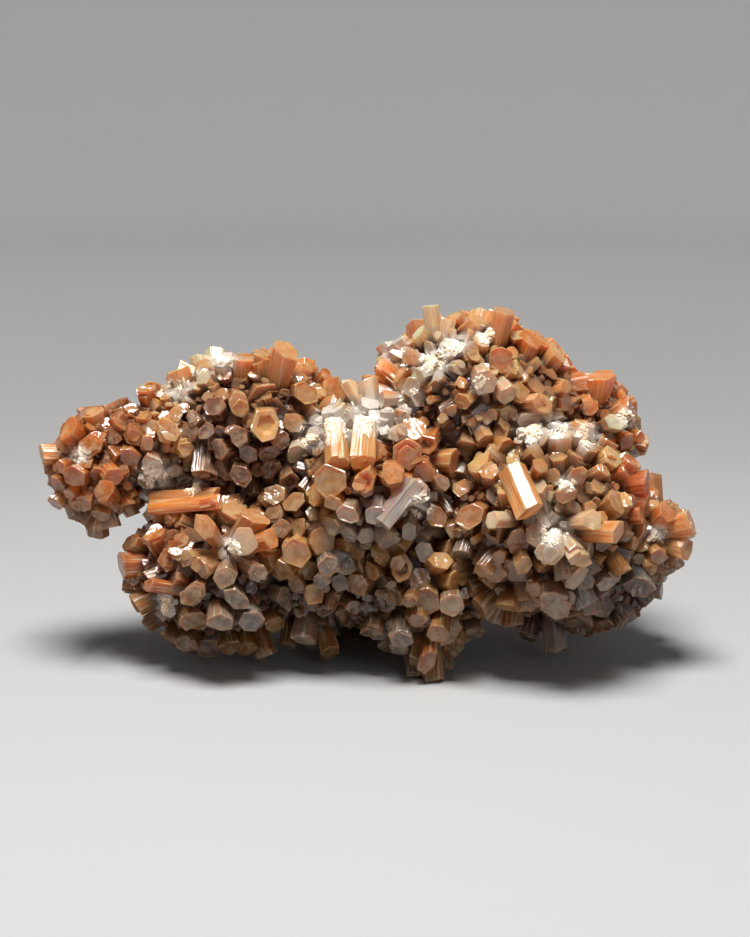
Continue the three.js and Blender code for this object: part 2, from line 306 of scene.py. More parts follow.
# Crystals that stand out singly: across and up on the sheet of the root and of the tip, how far
# the tip stands in front of the root's place, the width, the root's share of it, the colour, and
# the end if it isn't FLAT.
SINGLE_CRYSTALS = [
    # on the skyline
    [16.3, 91, 16.5, 101, 0, 6.6, 0.95, CREAM, RIMMED],
    [34, 90, 35.8, 99.5, 0, 9.5, 0.9, PEACH],
    [19, 93, 29, 97, 5, 5, 0.9, PEACH],
    [27, 93, 26, 97.5, 0, 7, 0.8, ORANGE],
    [42, 86, 43, 92, 0, 8, 0.8, ORANGE],
    [48, 84, 50, 88.5, 2, 7, 0.8, PEACH],
    [9, 88, 7, 91.5, 2, 7, 0.8, PEACH],
    [-25, 79, -21.8, 89.5, 2, 9, 0.85, PEACH],
    [-27, 80, -27.5, 88, 1, 7, 0.8, HONEY],
    [-33, 80, -33, 87, 0, 7, 0.8, ORANGE],
    [-38, 80, -38, 87, 0, 7, 0.8, ORANGE],
    [-49, 78, -50, 84, 0, 7, 0.8, PEACH],
    [-79, 62, -87, 61.5, 0, 5.5, 0.9, PEACH],
    [-72, 66, -73, 72.5, 0, 7, 0.8, ORANGE],
    [61, 74, 61.5, 82.5, 0, 8.5, 0.8, ORANGE],
    # this amber is partly painted shade, as on the right shoulder
    [63, 70, 69.5, 73.5, 0, 7, 0.8, AMBER],
    [64, 69, 65.5, 70, 9, 7, 0.8, CREAM],
    [77, 38, 86.5, 42.5, 2, 6.5, 0.7, PEACH],
    [77, 38, 85.5, 35, 2, 6.5, 0.7, HONEY],
    [75, 38, 80, 45.5, 2, 6.5, 0.7, ORANGE],
    # the left foot's outer side
    [-59, 31, -66.5, 30.5, 2, 8, 0.8, ORANGE],
    [-59, 34, -64, 37, 4, 7, 0.8, ORANGE],
    [-57, 22, -63, 19.5, 3, 7, 0.7, HONEY],
    # the front foot, and the front and underside of the others
    [18, 14, 18, -2, 2, 7.5, 0.9, HONEY],
    [14, 14, 13.5, 3.5, 3, 6.5, 0.9, HONEY],
    [21.5, 14, 21.5, 2, 0, 6, 0.9, BROWN],
    [17, 16, 16, 3.5, 8, 7, 0.8, ORANGE],
    [-53, 19, -46.5, 15, 9, 9, 0.45, HONEY],
    [-41, 21, -40, 14.5, 10, 8.5, 0.7, SMOKE],
    [-33, 21, -32, 15, 10, 8.5, 0.7, SMOKE],
    [-36, 25, -35.5, 21, 9, 8, 0.7, SMOKE],
    [-26, 19, -25, 14, 9, 8, 0.7, HONEY],
    [-46, 25, -47.5, 22.5, 9, 7.5, 0.7, BROWN],
    [-51, 14, -54, 9.5, 7, 7.5, 0.7, BROWN],
    [-46, 13, -49.5, 8.5, 9, 7, 0.7, BROWN],
    [-42, 12, -43.5, 7.5, 6, 7.5, 0.7, SMOKE],
    [-39, 12, -37.5, 7.5, 9, 6.5, 0.7, BROWN],
    [-34, 12, -32.5, 7, 8, 7, 0.7, HONEY],
    [-29, 12, -27.5, 5.5, 5, 8.5, 0.7, BROWN],
    [-25, 12, -22, 8, 7, 6.5, 0.7, BROWN],
    [-13, 14, -10.5, 6, 6, 7, 0.75, HONEY],
    [-7, 15, -5, 8, 7, 7, 0.7, SMOKE],
    [1, 18, 1, 12, 5, 7, 0.8, BROWN],
    [-16, 18, -17.5, 9.5, 5, 7.5, 0.8, SMOKE],
    [9, 14, 8.5, 7, 5, 6.5, 0.9, SMOKE],
    [43, 16, 43, 10.5, 3, 6.5, 0.8, SMOKE],
    [48, 18, 50.5, 7, 1, 7.5, 0.85, SMOKE],
    [68, 20, 70, 15, 0, 7, 0.8, SMOKE],
    [73, 26, 76, 21, 0, 7, 0.8, SMOKE],
    # round the white double star
    [-16, 67, -18.5, 61, 8, 7, 0.6, CREAM],
    [-14, 70, -20, 69.5, 8, 6.5, 0.6, PEACH],
    [5, 70, 8, 67, 9, 6, 0.6, CREAM],
    [-11, 58, -10.5, 53.5, 12, 10, 0.7, HONEY, RIMMED],
    [1, 58, -0.7, 53.5, 12, 7, 0.8, ORANGE, HOLLOW],
    [8, 60, 6.5, 56, 11, 7, 0.8, ORANGE],
    [12, 66, 10.5, 61.5, 12, 8.5, 0.7, ORANGE, HOLLOW],
    [17, 67, 15.5, 63.5, 10, 6, 0.8, ORANGE, HOLLOW],
    [13, 77, 21, 68, 6, 6, 0.7, ORANGE],
    [10, 77, 3.5, 76, 6, 6, 0.6, ORANGE],
    [3, 50, 1.5, 44.5, 9, 6.5, 0.8, SMOKE],
    [-5, 48, -6, 44.5, 10, 7, 0.8, SMOKE, RIMMED],
    # left shoulder
    [-31, 84, -28, 76, 13, 11, 0.55, PEACH],
    [-36, 80, -34, 74.5, 12, 7.5, 0.7, PEACH],
    [-28, 73, -27, 69, 12, 8.5, 0.7, PEACH, HOLLOW],
    [-20, 74, -18.5, 69.5, 12, 8, 0.8, HONEY, HOLLOW],
    [-19, 81, -16.5, 77.5, 12, 8, 0.8, PEACH, RIMMED],
    [-57, 76, -58.5, 79, 8, 6.5, 0.7, ORANGE],
    [-33, 58, -34, 55, 8, 6.5, 0.7, UMBER, RIMMED],
    [-22, 58, -21, 53.5, 9, 6.5, 0.7, BROWN, HOLLOW],
    # star of the left foot
    [-36, 36, -33.2, 37.3, 13, 8.5, 0.5, CREAM],
    [-38, 36, -44, 41.5, 8, 8.5, 0.45, PEACH],
    [-36, 36, -26, 38, 9, 6.5, 0.6, ORANGE],
    [-37, 35, -38.5, 27, 11, 6.5, 0.6, CREAM],
    [-37, 35, -45, 30, 10, 6.5, 0.6, PEACH],
    [-36, 34, -30, 28.5, 10, 6, 0.6, SMOKE],
    # grey group in the middle, and the round orange end beside it
    [12, 48, 13, 52, 8, 6.5, 0.8, SMOKE],
    [19, 50, 20, 53.5, 8, 6, 0.8, SMOKE],
    [15, 46, 11, 40, 9, 6.5, 0.7, SMOKE],
    [24, 50, 25, 52, 8, 6, 0.8, PEACH, RIMMED],
    [29, 51, 33.5, 50, 7, 5.5, 0.9, SMOKE],
    [28, 47, 27, 44, 13, 8.5, 0.75, PEACH, RIMMED],
    [20, 47, 18.5, 44, 11, 7, 0.8, ORANGE, RIMMED],
    [25, 42, 25.5, 33.5, 5, 6.5, 0.9, SMOKE],
    [16, 38, 15, 34, 8, 6.5, 0.8, SMOKE],
    # right bulge
    [41, 43, 33, 43, 6, 5, 0.9, CREAM],
    [52, 41, 48.8, 34, 11, 7.5, 0.6, CREAM, RAISED],
    [50, 42, 44.5, 47.5, 7, 6.5, 0.5, CREAM],
    [51, 41, 56.5, 32.5, 8, 7, 0.6, CREAM],
    [52, 36, 52.3, 27, 6, 5, 0.9, SMOKE],
    [52, 42, 60, 43, 8, 6, 0.6, CREAM],
    [55, 39, 67, 39.5, 6, 7, 0.9, HONEY],
    [64, 38, 68.5, 28.5, 3, 5, 0.9, HONEY],
    [67, 50, 69, 38, 9, 5.5, 0.9, BROWN],
    [54, 54, 53, 50, 12, 6.5, 0.8, PEACH, RIMMED],
    [57, 58, 56, 55, 12, 6, 0.8, PEACH, RIMMED],
    [66, 54, 74.5, 54, 6, 6, 0.8, RUST],
    # dome
    [28, 88, 31, 80.5, 12, 8, 0.6, CREAM],
    [33, 85, 37, 77, 10, 6.5, 0.7, CREAM],
    [18, 87, 13, 82, 9, 5.5, 0.5, CREAM],
    [17, 87, 24.5, 84, 9, 5, 0.5, CREAM],
    [16, 87, 18.5, 79.5, 9, 5.5, 0.5, HONEY],
    [17, 87, 10, 88, 8, 5.5, 0.5, PEACH],
    [36, 90, 35, 86.5, 12, 8, 0.7, ORANGE, RIMMED],
    [45, 91, 45, 88, 10, 7.5, 0.7, ORANGE, RIMMED],
    # lower right and lower middle
    [50, 24, 50, 19, 12, 10, 0.75, SMOKE],
    [70, 30, 73, 24.5, 9, 8.5, 0.75, SMOKE],
    [24, 23, 22.5, 19.5, 12, 7, 0.8, CREAM],
    [22, 19, 18.5, 11.5, 9, 6.5, 0.8, HONEY],
    [28, 18, 28.5, 11.5, 8, 6, 0.8, SMOKE],
    [9, 16, 9, 9.5, 9, 7, 0.8, SMOKE],
    [-19, 38, -19.5, 34, 10, 9, 0.7, HONEY, RIMMED],
    [-12, 34, -11, 30, 9, 6.5, 0.7, SMOKE, RIMMED],
]

# Long crystals that lie across others, seen from the side: across, up and depth of the root and
# of the tip, the width, the root's share of it and the colour.
LYING_CRYSTALS = [
    [-58, 46.4, -13, -39.5, 48, -20, 5.2, 1, ORANGE],
    [-58, 49.6, -11, -40.5, 50.6, -17, 4, 1, PEACH],
    [-44.5, 47.4, -20.3, -41, 48.2, -21.6, 3, 1, RUST],
    [-9, 69.5, -21, -8.3, 58.6, -31, 7.2, 0.85, HONEY],
    [-0.8, 70, -23, -1.6, 58.8, -33, 7.6, 0.85, HONEY],
    [12.5, 53.5, -31, 3.6, 42, -36, 6.4, 1, SMOKE],
    [38.5, 57, -34, 43.5, 45.5, -43, 8, 0.95, PEACH],
]

CLOSED_SINK = 8.0  # how far under its lump's surface a closed rosette's crystals meet
OPEN_SINK = 5.0  # and where the rosette opens like a star
CLOSED_REACH = 6.8  # how far over its lump's surface a closed rosette's crystals end
OPEN_REACH = 9.0
SINGLE_SINK = 4.0  # how far under the surface a single crystal starts
LYING_SEED = 9500.0
SINGLE_SEED = 9000.0
ROSETTE_COUNT = 20
ROSETTE_SEEDS = 50.0  # seeds set aside for each rosette
CROWN_SHARES = [0.75, 1.25]  # of a rosette's usual width, for its narrowest and broadest crystals
ROOT_SHARE = 0.76  # width at the root, as a share of that at the tip
LENGTH_SPREAD = [0.62, 1.14]  # from a rosette's shortest crystal to its longest
STAR_HEART = 0.6  # where a star's white starts, as a share of the way out from where they meet
ROSETTE_SLANT = 0.7  # how far a rosette turns aside from the way its lump's surface faces
DROOP = 0.45  # how far the low rosettes turn down
DROOP_HEIGHTS = [18.0, 58.0]  # all of it up to the first, none from the second on

PARTS = ("root", "tip", "width", "root_share", "turn", "seed", "heart", "star", "end", "look")
NO_STAR, ON_STAR, IN_CRUST = 0.0, 1.0, 2.0  # what the star column says


def crystals(root, tip, width, root_share, seed, heart=None, star=NO_STAR, end=ANY_END, look=BY_PLACE):
    """Crystals as a table of whole columns, one row for each crystal."""
    count = len(tip)
    heart = root if heart is None else heart
    turn = math.pi * chance(seed, 6)
    columns = [root, tip, width, root_share, turn, seed, heart, star, end, look]
    wide = [np.broadcast_to(c, (count, 3) if n in ("root", "tip", "heart") else (count,))
            for n, c in zip(PARTS, columns)]
    return dict(zip(PARTS, [w.astype(float) for w in wide]))


def grown_at(places, direction, seed, sink, reach, widths, growth=1.0, **others):
    """Crystals from a sink under their places to a reach over them, with widths by chance."""
    return crystals(
        root=places - sink * direction,
        tip=places + direction * between(*reach, chance(seed, 4))[:, None],
        width=growth * between(*widths, chance(seed, 5)),
        seed=seed,
        **others,
    )


def joined(tables):
    """Several tables of crystals as one."""
    return {part: np.concatenate([t[part] for t in tables]) for part in PARTS}


def chosen(table, which):
    """Only the chosen rows of a table of crystals."""
    return {part: column[which] for part, column in table.items()}


def rosette(seed, place, width, look, lean=DOMED):
    """Crystals that meet under a place: each turns on by the golden angle, and leans by
    least + (most - least) * sqrt(share), which spreads the tips evenly over the cap of a ball."""
    is_open = lean == STAR
    sink, reach = (OPEN_SINK, OPEN_REACH) if is_open else (CLOSED_SINK, CLOSED_REACH)
    droop = DROOP * (1 - smooth(*DROOP_HEIGHTS, place[2]))
    heart = place - outwards(place) * sink
    facing = unit(outwards(place) + ROSETTE_SLANT * three_chances(seed) - [0, 0, droop])
    i = np.arange(ROSETTE_COUNT)
    leans = np.radians(between(*lean, np.sqrt((i + 0.5) / ROSETTE_COUNT)))[:, None]
    around = (i * GOLDEN_ANGLE + 2 * math.pi * chance(seed, 1))[:, None]
    direction = leaning(facing, leans, around)
    length = (reach + sink) * between(*LENGTH_SPREAD, chance(seed, 2 + i))
    return crystals(
        root=heart - direction,  # a millimetre further, so that they overlap where they meet
        tip=heart + direction * length[:, None],
        width=width * between(*CROWN_SHARES, chance(seed, 60 + i)),
        root_share=ROOT_SHARE,
        seed=seed * ROSETTE_SEEDS + i,
        heart=heart + facing * sink * STAR_HEART,
        star=ON_STAR if is_open else NO_STAR,
        look=look,
    )


def single(seed, across, up, tip_across, tip_up, proud, width, root_share, look, end=FLAT):
    """One crystal from its root's place to a tip on the sight line, nearer or farther than it."""
    place = place_seen_at(across, up)
    tip = on_sight_line(tip_across, tip_up, place[1] - proud)
    root = place - outwards(place) * SINGLE_SINK
    return crystals(root[None], tip[None], width, root_share, seed, end=end, look=look)


def lying(seed, *row):
    """One crystal between two places given with their depths."""
    ends = [on_sight_line(*row[k:k + 3])[None] for k in (0, 3)]
    width, root_share, look = row[6:]
    return crystals(*ends, width, root_share, seed, end=FLAT, look=look)


seen_places = np.array([place_seen_at(row[0], row[1]) for row in ROSETTES])
front = [rosette(i, seen_places[i], *row[2:]) for i, row in enumerate(ROSETTES)]
singles = [lying(LYING_SEED + i, *row) for i, row in enumerate(LYING_CRYSTALS)]
singles += [single(SINGLE_SEED + i, *row) for i, row in enumerate(SINGLE_CRYSTALS)]
print(len(ROSETTES), "rosettes and", len(singles), "single crystals on the front")

# %% [markdown]
# ## The sides, the back and the gaps
#
# The rest of the cluster follows the same rules with places chosen by formula, and what is still
# bare is filled with smaller crystals, each with a slant of its own. A few longer ones lie almost
# along the surface, as on the real thing.

# %% Rosettes and fillers by rule
ROSETTE_PLACES = 60  # tried on each lump
ROSETTE_SPACING = 15.0
RULE_SEED = 100
RULE_WIDTHS = [6.5, 8.5]  # usual widths in the rosettes by rule
RULE_STARS = 0.18  # share of the rosettes by rule that lie open
FILLERS = {
    "count": 900,  # places on each lump
    "first_seed": 1000.0,
    "seed_step": 1000.0,  # from lump to lump
    "slant": 1.1,
    "low_growth": 1.3,  # how much broader they are low down
    "sink": 5.0,  # how deep they start
    "reach": [2.0, 6.5],  # how far over the surface they end
    "widths": [3.8, 7.4],
    "root_share": 0.8,
}
STRAYS = {"sink": 4.0, "reach": [5, 10], "widths": [4, 7], "root_share": 0.9}
STRAY_COUNT = 14
STRAY_SEEDS = (30000.0, 1000.0)  # the first, and the step from lump to lump
STRAY_LEANS = [40, 70]  # degrees from the way the surface faces
STRAY_LIFTS = [0, 3]  # how far over the surface they lie


def spread_rosettes(taken):
    """Rosettes on every lump, each at least one spacing away from all others."""
    places = list(taken)
    made = []
    for lump in range(len(LUMPS)):
        for place in places_on(lump, ROSETTE_PLACES):
            if np.linalg.norm(np.array(places) - place, axis=1).min() < ROSETTE_SPACING:
                continue
            seed = RULE_SEED + len(places)
            places.append(place)
            lean = STAR if chance(seed, 3) < RULE_STARS else DOMED
            width = between(*RULE_WIDTHS, chance(seed, 5))
            made.append(rosette(seed, place, width, BY_PLACE, lean))
    return made


def places_with_seeds(count, first_seed, seed_step):
    """Places on every lump, and a seed for each of them."""
    places = [places_on(lump, count) for lump in range(len(LUMPS))]
    seeds = [first_seed + seed_step * lump + np.arange(len(p)) for lump, p in enumerate(places)]
    return np.concatenate(places), np.concatenate(seeds)


def standing(count, first_seed, seed_step, slant, low_growth, **shape):
    """Crystals that stand out of every lump, each with a slant of its own."""
    places, seed = places_with_seeds(count, first_seed, seed_step)
    direction = unit(outwards(places) + slant * three_chances(seed))
    growth = between(low_growth, 1, smooth(*DROOP_HEIGHTS, places[:, 2]))
    return grown_at(places, direction, seed, growth=growth, **shape)


def strays():
    """Crystals that lie almost along the surface, across what grows there."""
    places, seed = places_with_seeds(STRAY_COUNT, *STRAY_SEEDS)
    facing = outwards(places)
    lean = np.radians(between(*STRAY_LEANS, chance(seed, 2)))[:, None]
    around = (2 * math.pi * chance(seed, 1))[:, None]
    start = places + facing * between(*STRAY_LIFTS, chance(seed, 3))[:, None]
    return grown_at(start, leaning(facing, lean, around), seed, **STRAYS)


# %% [markdown]
# ## Room to grow
#
# Real crystals compete: one that starts later stops where its neighbours are. The wished crystals
# are taken in order, and one grows only if its outer half keeps away from those already there. They
# may still touch and grow a little into each other, as they do in nature. Two more rules keep the
# likeness: the specimen's outline as seen from the front is listed, and no tip grows past it, and
# nothing grows in front of the single crystals.

# %% Choose the crystals that have room
ROOM = 0.5  # how close two crystals may come, as a share of their two half-widths
NEAR = 18.0  # crystals whose tips are farther apart than this aren't compared
LEAST_RISE = 1.08  # how far out of every lump a tip has to stand
OUTER_SHARES = np.linspace(0.55, 1.0, 4)
OUTLINE_EASE = 0.5  # how far a tip may pass the outline
HIDING_ROOM = 0.62  # how much two crystals cover each other on the sheet, before one hides the other

# The outline on the sheet: across and up, from the left end over the top and back underneath.
OUTLINE = np.array([
    [-87, 64], [-83, 64.5], [-80.5, 67.5], [-76.5, 72], [-71, 74.5], [-65.5, 75.5], [-61, 73],
    [-59.5, 71], [-58.5, 78], [-53, 84], [-47, 86], [-41, 88], [-34, 88], [-29, 89.5], [-24.5, 91],
    [-21.5, 91], [-20.5, 86.5], [-15.5, 85.5], [-11.5, 83.5], [-5.5, 80.5], [-1, 81], [1, 86.5],
    [5.5, 92.5], [13.5, 96.5], [14, 102], [19, 102], [19, 97], [23, 98.5], [28, 99.5], [33, 99.5],
    [35.5, 101], [39.5, 97], [43, 94], [49, 91], [52.5, 87.5], [55.5, 83.5], [57, 82], [61, 84],
    [67, 81], [71, 73.5], [70, 69], [73, 65], [76, 57], [76, 53.5], [75, 49.5], [79, 47], [86, 46],
    [88, 42], [86, 33], [80, 27.5], [78, 22.5], [77, 18], [72, 13], [60, 12.5], [54, 12], [53, 6.5],
    [48, 6.5], [45.5, 8], [41, 11], [35, 12], [31, 15.5], [27.5, 13], [25, 7.5], [23, -2], [13, -2],
    [12, 4.5], [6, 6], [5, 11.5], [0, 13], [-2.5, 9.5], [-8, 5.5], [-11.5, 5], [-14, 9], [-18.5, 11.5],
    [-22.5, 9], [-23.5, 4], [-31, 3.5], [-35, 6.5], [-48, 5.5], [-52, 7.5], [-57.5, 12], [-62.5, 17.5],
    [-65, 25], [-68, 28.5], [-68, 32.5], [-65, 38.5], [-60, 40.5], [-57.5, 43], [-58.5, 48],
    [-61.5, 46], [-63, 44.5], [-65.5, 39], [-71.5, 36.5], [-79.5, 38.5], [-83, 43.5], [-84.5, 50.5],
    [-86.5, 56], [-88, 60.5],
])


def inside_outline(places):
    """Whether each place on the sheet lies inside the outline: a line from it to the far right
    crosses an odd number of the outline's sides."""
    start, end = OUTLINE, np.roll(OUTLINE, -1, axis=0)
    x, y = places[:, None, 0], places[:, None, 1]
    spans = (start[:, 1] > y) != (end[:, 1] > y)
    share = (y - start[:, 1]) / np.where(spans, end[:, 1] - start[:, 1], 1)
    return (spans & (x < between(start[:, 0], end[:, 0], share))).sum(axis=1) % 2 == 1


def samples(table):
    """Points along the outer part of each crystal's middle, and its half-widths there."""
    middles = between(table["root"][:, None], table["tip"][:, None], OUTER_SHARES[:, None])
    halves = table["width"][:, None] / 2 * between(table["root_share"][:, None], 1, OUTER_SHARES)
    return middles, halves


def hides_single(table, heroes):
    """Whether a crystal would stand in front of a single one as seen from the eye."""
    hero_middles, hero_halves = [part.reshape(-1, *part.shape[2:]) for part in samples(heroes)]
    hero_sheet = on_sheet(hero_middles)
    middles, halves = samples(table)
    hides = np.zeros(len(middles), bool)
    for k in range(len(OUTER_SHARES)):
        gap = np.linalg.norm(on_sheet(middles[:, k])[:, None] - hero_sheet, axis=-1)
        covers = gap < HIDING_ROOM * (halves[:, k, None] + hero_halves)
        hides |= (covers & (middles[:, k, None, 1] < hero_middles[:, 1])).any(axis=1)
    return hides


def with_room(wished, allowed):
    """The allowed crystals whose sampled middles stay more than ROOM * (half-width + half-width)
    away from those of all the crystals taken before them."""
    middles, halves = samples(wished)
    kept = []
    for i in np.flatnonzero(allowed):
        others = np.array(kept, int)
        others = others[np.linalg.norm(wished["tip"][others] - wished["tip"][i], axis=1) < NEAR]
        gap = np.linalg.norm(middles[i][:, None, None] - middles[others], axis=-1)
        if (gap > ROOM * (halves[i][:, None, None] + halves[others])).all():
            kept.append(i)
    return chosen(wished, kept)


heroes = joined(singles)
others = joined([*front, *spread_rosettes(seen_places), strays(), standing(**FILLERS)])
ways = unit(others["tip"] - others["root"])
allowed = inside_outline(on_sheet(others["tip"] - OUTLINE_EASE * ways))
allowed &= levels(others["tip"]).min(axis=1) >= LEAST_RISE
allowed &= ~hides_single(others, heroes)
wished = joined([heroes, others])
grown = with_room(wished, np.concatenate([np.ones(len(heroes["seed"]), bool), allowed]))
count = len(grown["width"])
print(len(wished["width"]), "crystals wished for,", count, "have room")

# %% [markdown]
# ## From crystals to blades
#
# Look closely and few crystals are one clean prism. Most are two or three blades grown side by side
# with their faces parallel, and each ends at a height of its own, so the end is stepped. Cutting
# steps into a prism would be slow. Here a crystal is simply two or three prisms set a little apart,
# which the union further down turns into one stepped crystal.

# %% Split some crystals into blades
BLADE_SHARES = (0.6, 0.3, 0.1)  # of the crystals have a second, third and fourth blade
BLADE_WIDTHS = [0.55, 0.88]
BLADE_STEP = [-0.25, 1.5]
BLADE_SEED_STEP = 0.27
BLADE_EDGE = 1.12  # how far out a blade's own corner reaches, as a share of the crystal's


def axes(table):
    """Two directions across each crystal and one along it, turned about it by its own turn."""
    along = unit(table["tip"] - table["root"])
    side, other = square_to(along)
    c, s = np.cos(table["turn"])[:, None], np.sin(table["turn"])[:, None]
    return np.stack([c * side + s * other, c * other - s * side, along], axis=1)


def blades(table):
    """The crystals and their further blades. A blade's middle is moved aside, towards one of the
    crystal's corners, until its own corners pass the crystal's, and its end is a step lower."""
    tables = [table]
    for k, share_with in enumerate(BLADE_SHARES):
        t = chosen(table, chance(table["seed"], 700) < share_with)
        seed = t["seed"] + BLADE_SEED_STEP * (k + 1)
        side, other, along = np.moveaxis(axes(t), 1, 0)
        corner = np.floor(6 * chance(seed, 702)) * math.pi / 3
        aside = np.cos(corner)[:, None] * side + np.sin(corner)[:, None] * other
        share = between(*BLADE_WIDTHS, chance(seed, 703))
        shift = aside * (t["width"] / 2 * (BLADE_EDGE - share))[:, None]
        step = along * between(*BLADE_STEP, chance(seed, 704) ** 2)[:, None]
        t["tip"] = t["tip"] + shift - step
        t["root"] = t["root"] + shift * t["root_share"][:, None]
        t["width"] = t["width"] * share
        t["seed"] = seed
        t["end"] = np.full(len(seed), FLAT)
        tables.append(t)
    return joined(tables)


prisms = blades(grown)
print(len(prisms["width"]), "prisms make up", count, "crystals")

# %% [markdown]
# ## One prism, and all of them
#
# A prism is a profile carried along its axis: a ring of points, two for each worn corner of a
# hexagon, repeated at a few heights with a few widths. The heights make the flank, the worn rim,
# and the end, which is flat, stepped, rimmed like a plate, or hollow like a short tube. As every
# prism of a kind has the same rings in the same order, all of them are one big array, and numpy
# works out every point at once.

# %% Cross-sections and profiles
CORNERS = 6
# For each kind of end, its name, the heights of the rings above the root's, in millimetres from
# the end, and their widths as shares. The last height of a hollow end is its floor.
ENDS = {
    FLAT: ("flat", [-0.18, 0.0], [1.0, 0.96]),
    RAISED: ("stepped", [-0.2, 0.0, 0.06, 0.5], [1.0, 0.95, 0.74, 0.64]),
    RIMMED: ("rimmed", [-0.15, 0.0, -0.08, -0.28], [1.0, 0.96, 0.88, 0.8]),
    HOLLOW: ("hollow", [-0.15, 0.0, -0.3, -1.8], [1.0, 0.95, 0.62, 0.42]),
    SMALL: ("small", [0.0], [0.97]),
}
END_CHANCES = (0.86, 0.93, 0.98, 1.0)  # up to where a crystal's chance gives it each kind of end
SQUEEZE = [0.72, 1.0]  # depth of a prism as a share of its width
CORNER_WEAR = [0.025, 0.12]  # how much of each side a worn corner takes off, at most
UNEVEN_ANGLES = 0.32
UNEVEN_CORNERS = [0.84, 1.12]
END_TILT = 0.55
SLANTED_SHARE = 0.2
SLANTED_TILT = 1.1


def outlines(seeds, worn):
    """Rings of points round a unit circle: a squeezed hexagon with uneven corners. Where it is
    worn, every corner becomes a short side, a share of the way to the next corner on either hand."""
    corner = np.arange(CORNERS)
    angle = corner + UNEVEN_ANGLES * (chance(seeds[:, None], 200 + corner) - 0.5)
    angle = angle * 2 * math.pi / CORNERS
    radius = between(*UNEVEN_CORNERS, chance(seeds[:, None], 300 + corner))
    squeeze = between(*SQUEEZE, chance(seeds, 401))[:, None]
    points = np.stack([radius * np.cos(angle), squeeze * radius * np.sin(angle)], axis=-1)
    if not worn:
        return points
    wear = between(*CORNER_WEAR, chance(seeds, 400) ** 2)[:, None, None]
    before = between(points, np.roll(points, 1, axis=1), wear)
    after = between(points, np.roll(points, -1, axis=1), wear)
    return np.stack([before, after], axis=2).reshape(len(seeds), 2 * CORNERS, 2)


def prism_points(table, kind):
    """Every prism's points in its own axes: two across it, and the third along it from its end.
    Point = outline * half-width * the ring's share, at the ring's height, plus the end's tilt."""
    seeds = table["seed"]
    n = len(seeds)
    end_heights, end_widths = [np.tile(row, (n, 1)) for row in ENDS[kind][1:]]
    length = np.linalg.norm(table["tip"] - table["root"], axis=1)
    heights = np.column_stack([-length, end_heights])
    widths = np.column_stack([table["root_share"], end_widths])
    halves = widths * table["width"][:, None] / 2
    across = outlines(seeds, kind != SMALL)[:, None] * halves[..., None, None]
    most_tilt = np.where(chance(seeds, 602) < SLANTED_SHARE, SLANTED_TILT, END_TILT)[:, None]
    tilt = most_tilt * (np.stack([chance(seeds, 600), chance(seeds, 601)], axis=1) - 0.5)
    tilted = (np.arange(heights.shape[1]) > 0)[:, None]
    along = heights[:, :, None] + np.einsum("nrpk,nk->nrp", across, tilt) * tilted
    return np.concatenate([across, along[..., None]], axis=-1).reshape(n, -1, 3)


def prism_faces(rings, around):
    """Faces of one prism: its root, bands of four-sided faces from ring to ring, and its end."""
    i = np.arange(around)
    j = (i + 1) % around
    bands = [[r * around + a, r * around + b, (r + 1) * around + b, (r + 1) * around + a]
             for r in range(rings - 1) for a, b in zip(i, j)]
    return [list(i[::-1])] + bands + [list((rings - 1) * around + i)]


def kinds_of_end(table):
    """Each prism's kind of end: its row's, or one by chance."""
    by_chance = np.searchsorted(END_CHANCES, chance(table["seed"], 500))
    return np.where(table["end"] == ANY_END, by_chance, table["end"]).astype(int)


def all_prisms(table):
    """Points, own places of the face corners, corner indices, face sizes, prism numbers and
    whether a face belongs to an end, of all prisms, worked out kind by kind."""
    kind = kinds_of_end(table)
    pieces = []
    start = 0
    for k in np.unique(kind):
        some = chosen(table, kind == k)
        own = prism_points(some, k)
        points = some["tip"][:, None] + np.einsum("npk,nkx->npx", own, axes(some))
        around = CORNERS if k == SMALL else 2 * CORNERS
        end_name, end_heights, _ = ENDS[k]
        pattern = prism_faces(1 + len(end_heights), around)
        flat = np.concatenate(pattern)
        n, each = own.shape[:2]
        indices = flat + each * np.arange(n)[:, None] + start
        sizes = np.tile([len(face) for face in pattern], n)
        at_end = np.tile(np.arange(len(pattern)) > around, n)
        numbers = np.repeat(np.flatnonzero(kind == k), len(pattern))
        corners = own[:, flat].reshape(-1, 3)
        pieces.append((points.reshape(-1, 3), corners, indices.ravel(), sizes, numbers, at_end))
        start += n * each
        print(n, "prisms with", end_name, "ends, of", len(pattern), "faces")
    return [np.concatenate(column) for column in zip(*pieces)]


# %% [markdown]
# ## Closed skins
#
# The prisms still pass through each other. On an opaque thing nobody would see it, but light
# travels inside this one, and would meet every hidden wall. So prisms and lumps are united into
# closed skins. Geometry Nodes does it in one step: the mesh is split into its prisms, and the Mesh
# Boolean node unites them with its fast Manifold solver. It carries each face's prism number and
# each corner's place in the prism over to the result.

# %% Nodes, objects and meshes from arrays
FLOOR_BLOCK = (0.4, 0.4, 0.2)  # in metres, and what reaches down into it is cut off


def fill(tree, node, values):
    """Gives some of a node's inputs a value, or links them to another node's output."""
    for key, value in values.items():
        if isinstance(value, bpy.types.NodeSocket):
            tree.links.new(value, node.inputs[key])
        else:
            node.inputs[key].default_value = value


def add(tree, kind, values=None, **settings):
    """A new node with its settings and the values of some of its inputs."""
    node = tree.nodes.new(kind)
    for key, value in settings.items():
        setattr(node, key, value)
    fill(tree, node, values or {})
    return node


def placed(name, data):
    """A new object of the scene that shows a mesh, a light or a camera."""
    made = bpy.data.objects.new(name, data)
    bpy.context.scene.collection.objects.link(made)
    return made


